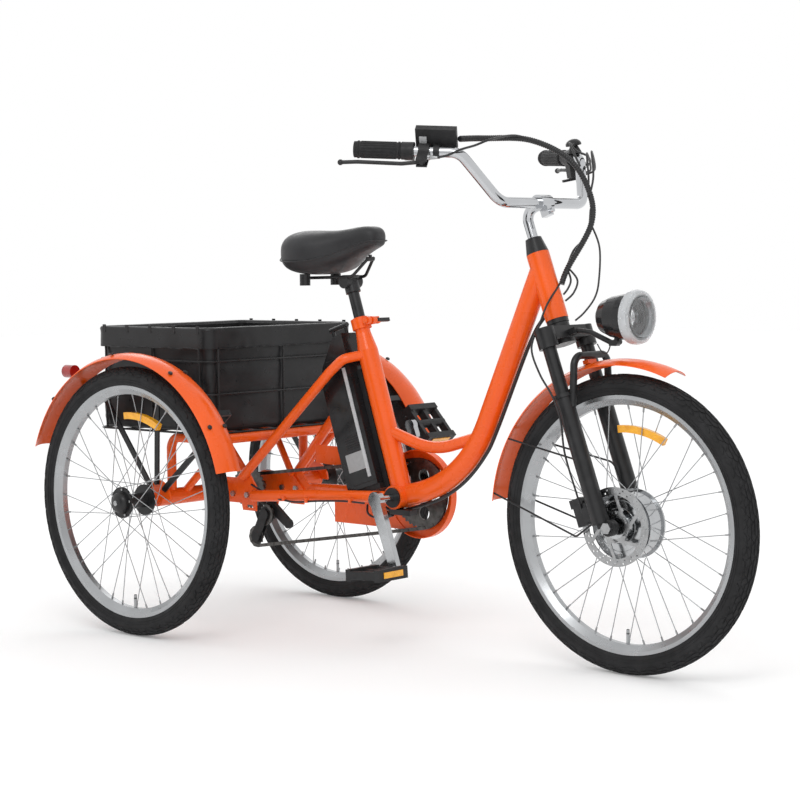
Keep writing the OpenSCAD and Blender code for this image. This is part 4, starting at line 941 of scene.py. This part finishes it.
# ------------------------------------------------------------------------------ battery
sx_dir = (seat(60, 0, 0) - seat(0, 0, 0)).normalized()
sz_dir = (seat(0, 0, 60) - seat(0, 0, 0)).normalized()
for s, nm in ((-1, "right"), (1, "left")):
    b = Build()
    b.block(seat(-83, s * 33.35, 103), sx_dir, sz_dir, Y, 0.0285, 0.0205, 0.0003)
    b.make(f"battery_label_{nm}", "battery", "label_white", slot="grey_strip")
    b = Build()
    for k in range(6):
        b.block(seat(-78, s * 33.4, 134 + 5.5 * k), sx_dir, sz_dir, Y, 0.024, 0.0012, 0.0007)
    for lz in (52, 338):
        b.block(seat(-72, s * 33.3, lz), sx_dir, sz_dir, Y, 0.034 if lz < 100 else 0.03, 0.0008,
                0.0006)
    b.make(f"battery_louvres_{nm}", "battery", "black_plastic", bevel=0.0003)


# ------------------------------------------------------------------------ small hardware
def guard_bolts(name, centre):
    """Bolt heads where the struts meet the mudguard."""
    b = Build()
    for deg in (33, 62, 97, 138):
        a = math.radians(deg)
        u = Vector((math.cos(a), 0, math.sin(a)))
        for y in (-0.022, 0.022):
            b.lathe(Vector((centre.x, centre.y + y, centre.z)) + u * 0.3325, u,
                    [(0, 0.0052), (0.0028, 0.0052), (0.0042, 0.0036)], sides=12)
    b.make(name, "frame", "black_metal")


guard_bolts("guard_bolts_right", RIGHT)
guard_bolts("guard_bolts_left", LEFT)

b = Build()
for s in (-1, 1):
    for x in (-200, -120, -40, 40, 120):
        c = at(x, s * 238.5, 688)
        b.block(c, X, Y, Z, 0.005, 0.0012, 0.009)
b.make("liner_snaps", "frame", "black_plastic", bevel=0.0006)

# connectors under the crank shell
b = Build()
for k, (x, y, z, l) in enumerate(((486, -20, 283, 26), (492, -6, 279, 30), (482, 8, 281, 24))):
    c = at(x, y, z)
    d = Vector((-0.9, 0.1, -0.28)).normalized()
    b.prism(c, c + d * l / 1000, 0.0055, 0.0055, sides=14)
    b.prism(c + d * (l / 1000), c + d * (l / 1000 + 0.010), 0.0042, 0.0030, sides=12)
b.make("loom_connectors", "frame", "black_plastic")
for k, y in enumerate((-20, -6, 8)):
    cable(f"connector_lead_{k + 1}", [at(463, y + 1, 275), at(446, y + 2, 270),
                                      at(430, y + 4 * k, 278), at(424, y + 6, 296 + 3 * k)],
          0.0024, "frame")


# ------------------------------------------------------------------------------ stage
def stage_plane(name, points, color, glow, rough=0.9):
    me = bpy.data.meshes.new(name)
    me.from_pydata(points, [], [(0, 1, 2, 3)])
    m = bpy.data.materials.new(name)
    m.use_nodes = True
    b = m.node_tree.nodes["Principled BSDF"]
    b.inputs["Base Color"].default_value = (*color, 1)
    b.inputs["Roughness"].default_value = rough
    b.inputs["Emission Color"].default_value = (1, 1, 1, 1)
    b.inputs["Emission Strength"].default_value = glow
    me.materials.append(m)
    o = bpy.data.objects.new(name, me)
    bpy.context.scene.collection.objects.link(o)


def stage():
    s = 16
    stage_plane("floor", [(-s, -s, 0), (s, -s, 0), (s, s, 0), (-s, s, 0)], (0.88,) * 3, 0.14)
    # dark cards beside the camera give the metal something to mirror
    for name, x, y, w in (("card_front", 3.6, 0.4, (0.15, 0.9)), ("card_side", -0.2, -3.7, (0.9, -0.1))):
        stage_plane(name, [(x - w[0], y - w[1], 0.1), (x + w[0], y + w[1], 0.1),
                           (x + w[0], y + w[1], 2.0), (x - w[0], y - w[1], 2.0)], (0.02,) * 3, 0)
    world = bpy.data.worlds.new("studio")
    world.use_nodes = True
    world.node_tree.nodes["Background"].inputs["Color"].default_value = (1, 1, 1, 1)
    world.node_tree.nodes["Background"].inputs["Strength"].default_value = 1.0
    bpy.context.scene.world = world

    def area(name, loc, target, size, power):
        d = bpy.data.lights.new(name, "AREA")
        d.shape = "RECTANGLE"
        d.size, d.size_y = size
        d.energy = power
        l = bpy.data.objects.new(name, d)
        bpy.context.scene.collection.objects.link(l)
        l.location = loc
        l.rotation_euler = (Vector(target) - Vector(loc)).to_track_quat("-Z", "Y").to_euler()

    area("key", (1.4, -2.4, 2.8), (0, 0, 0.4), (1.6, 1.2), 26)
    area("back", (-2.6, 2.2, 2.6), (0, 0, 0.5), (2.2, 1.4), 14)
    bpy.context.scene.view_settings.view_transform = "Standard"


stage()
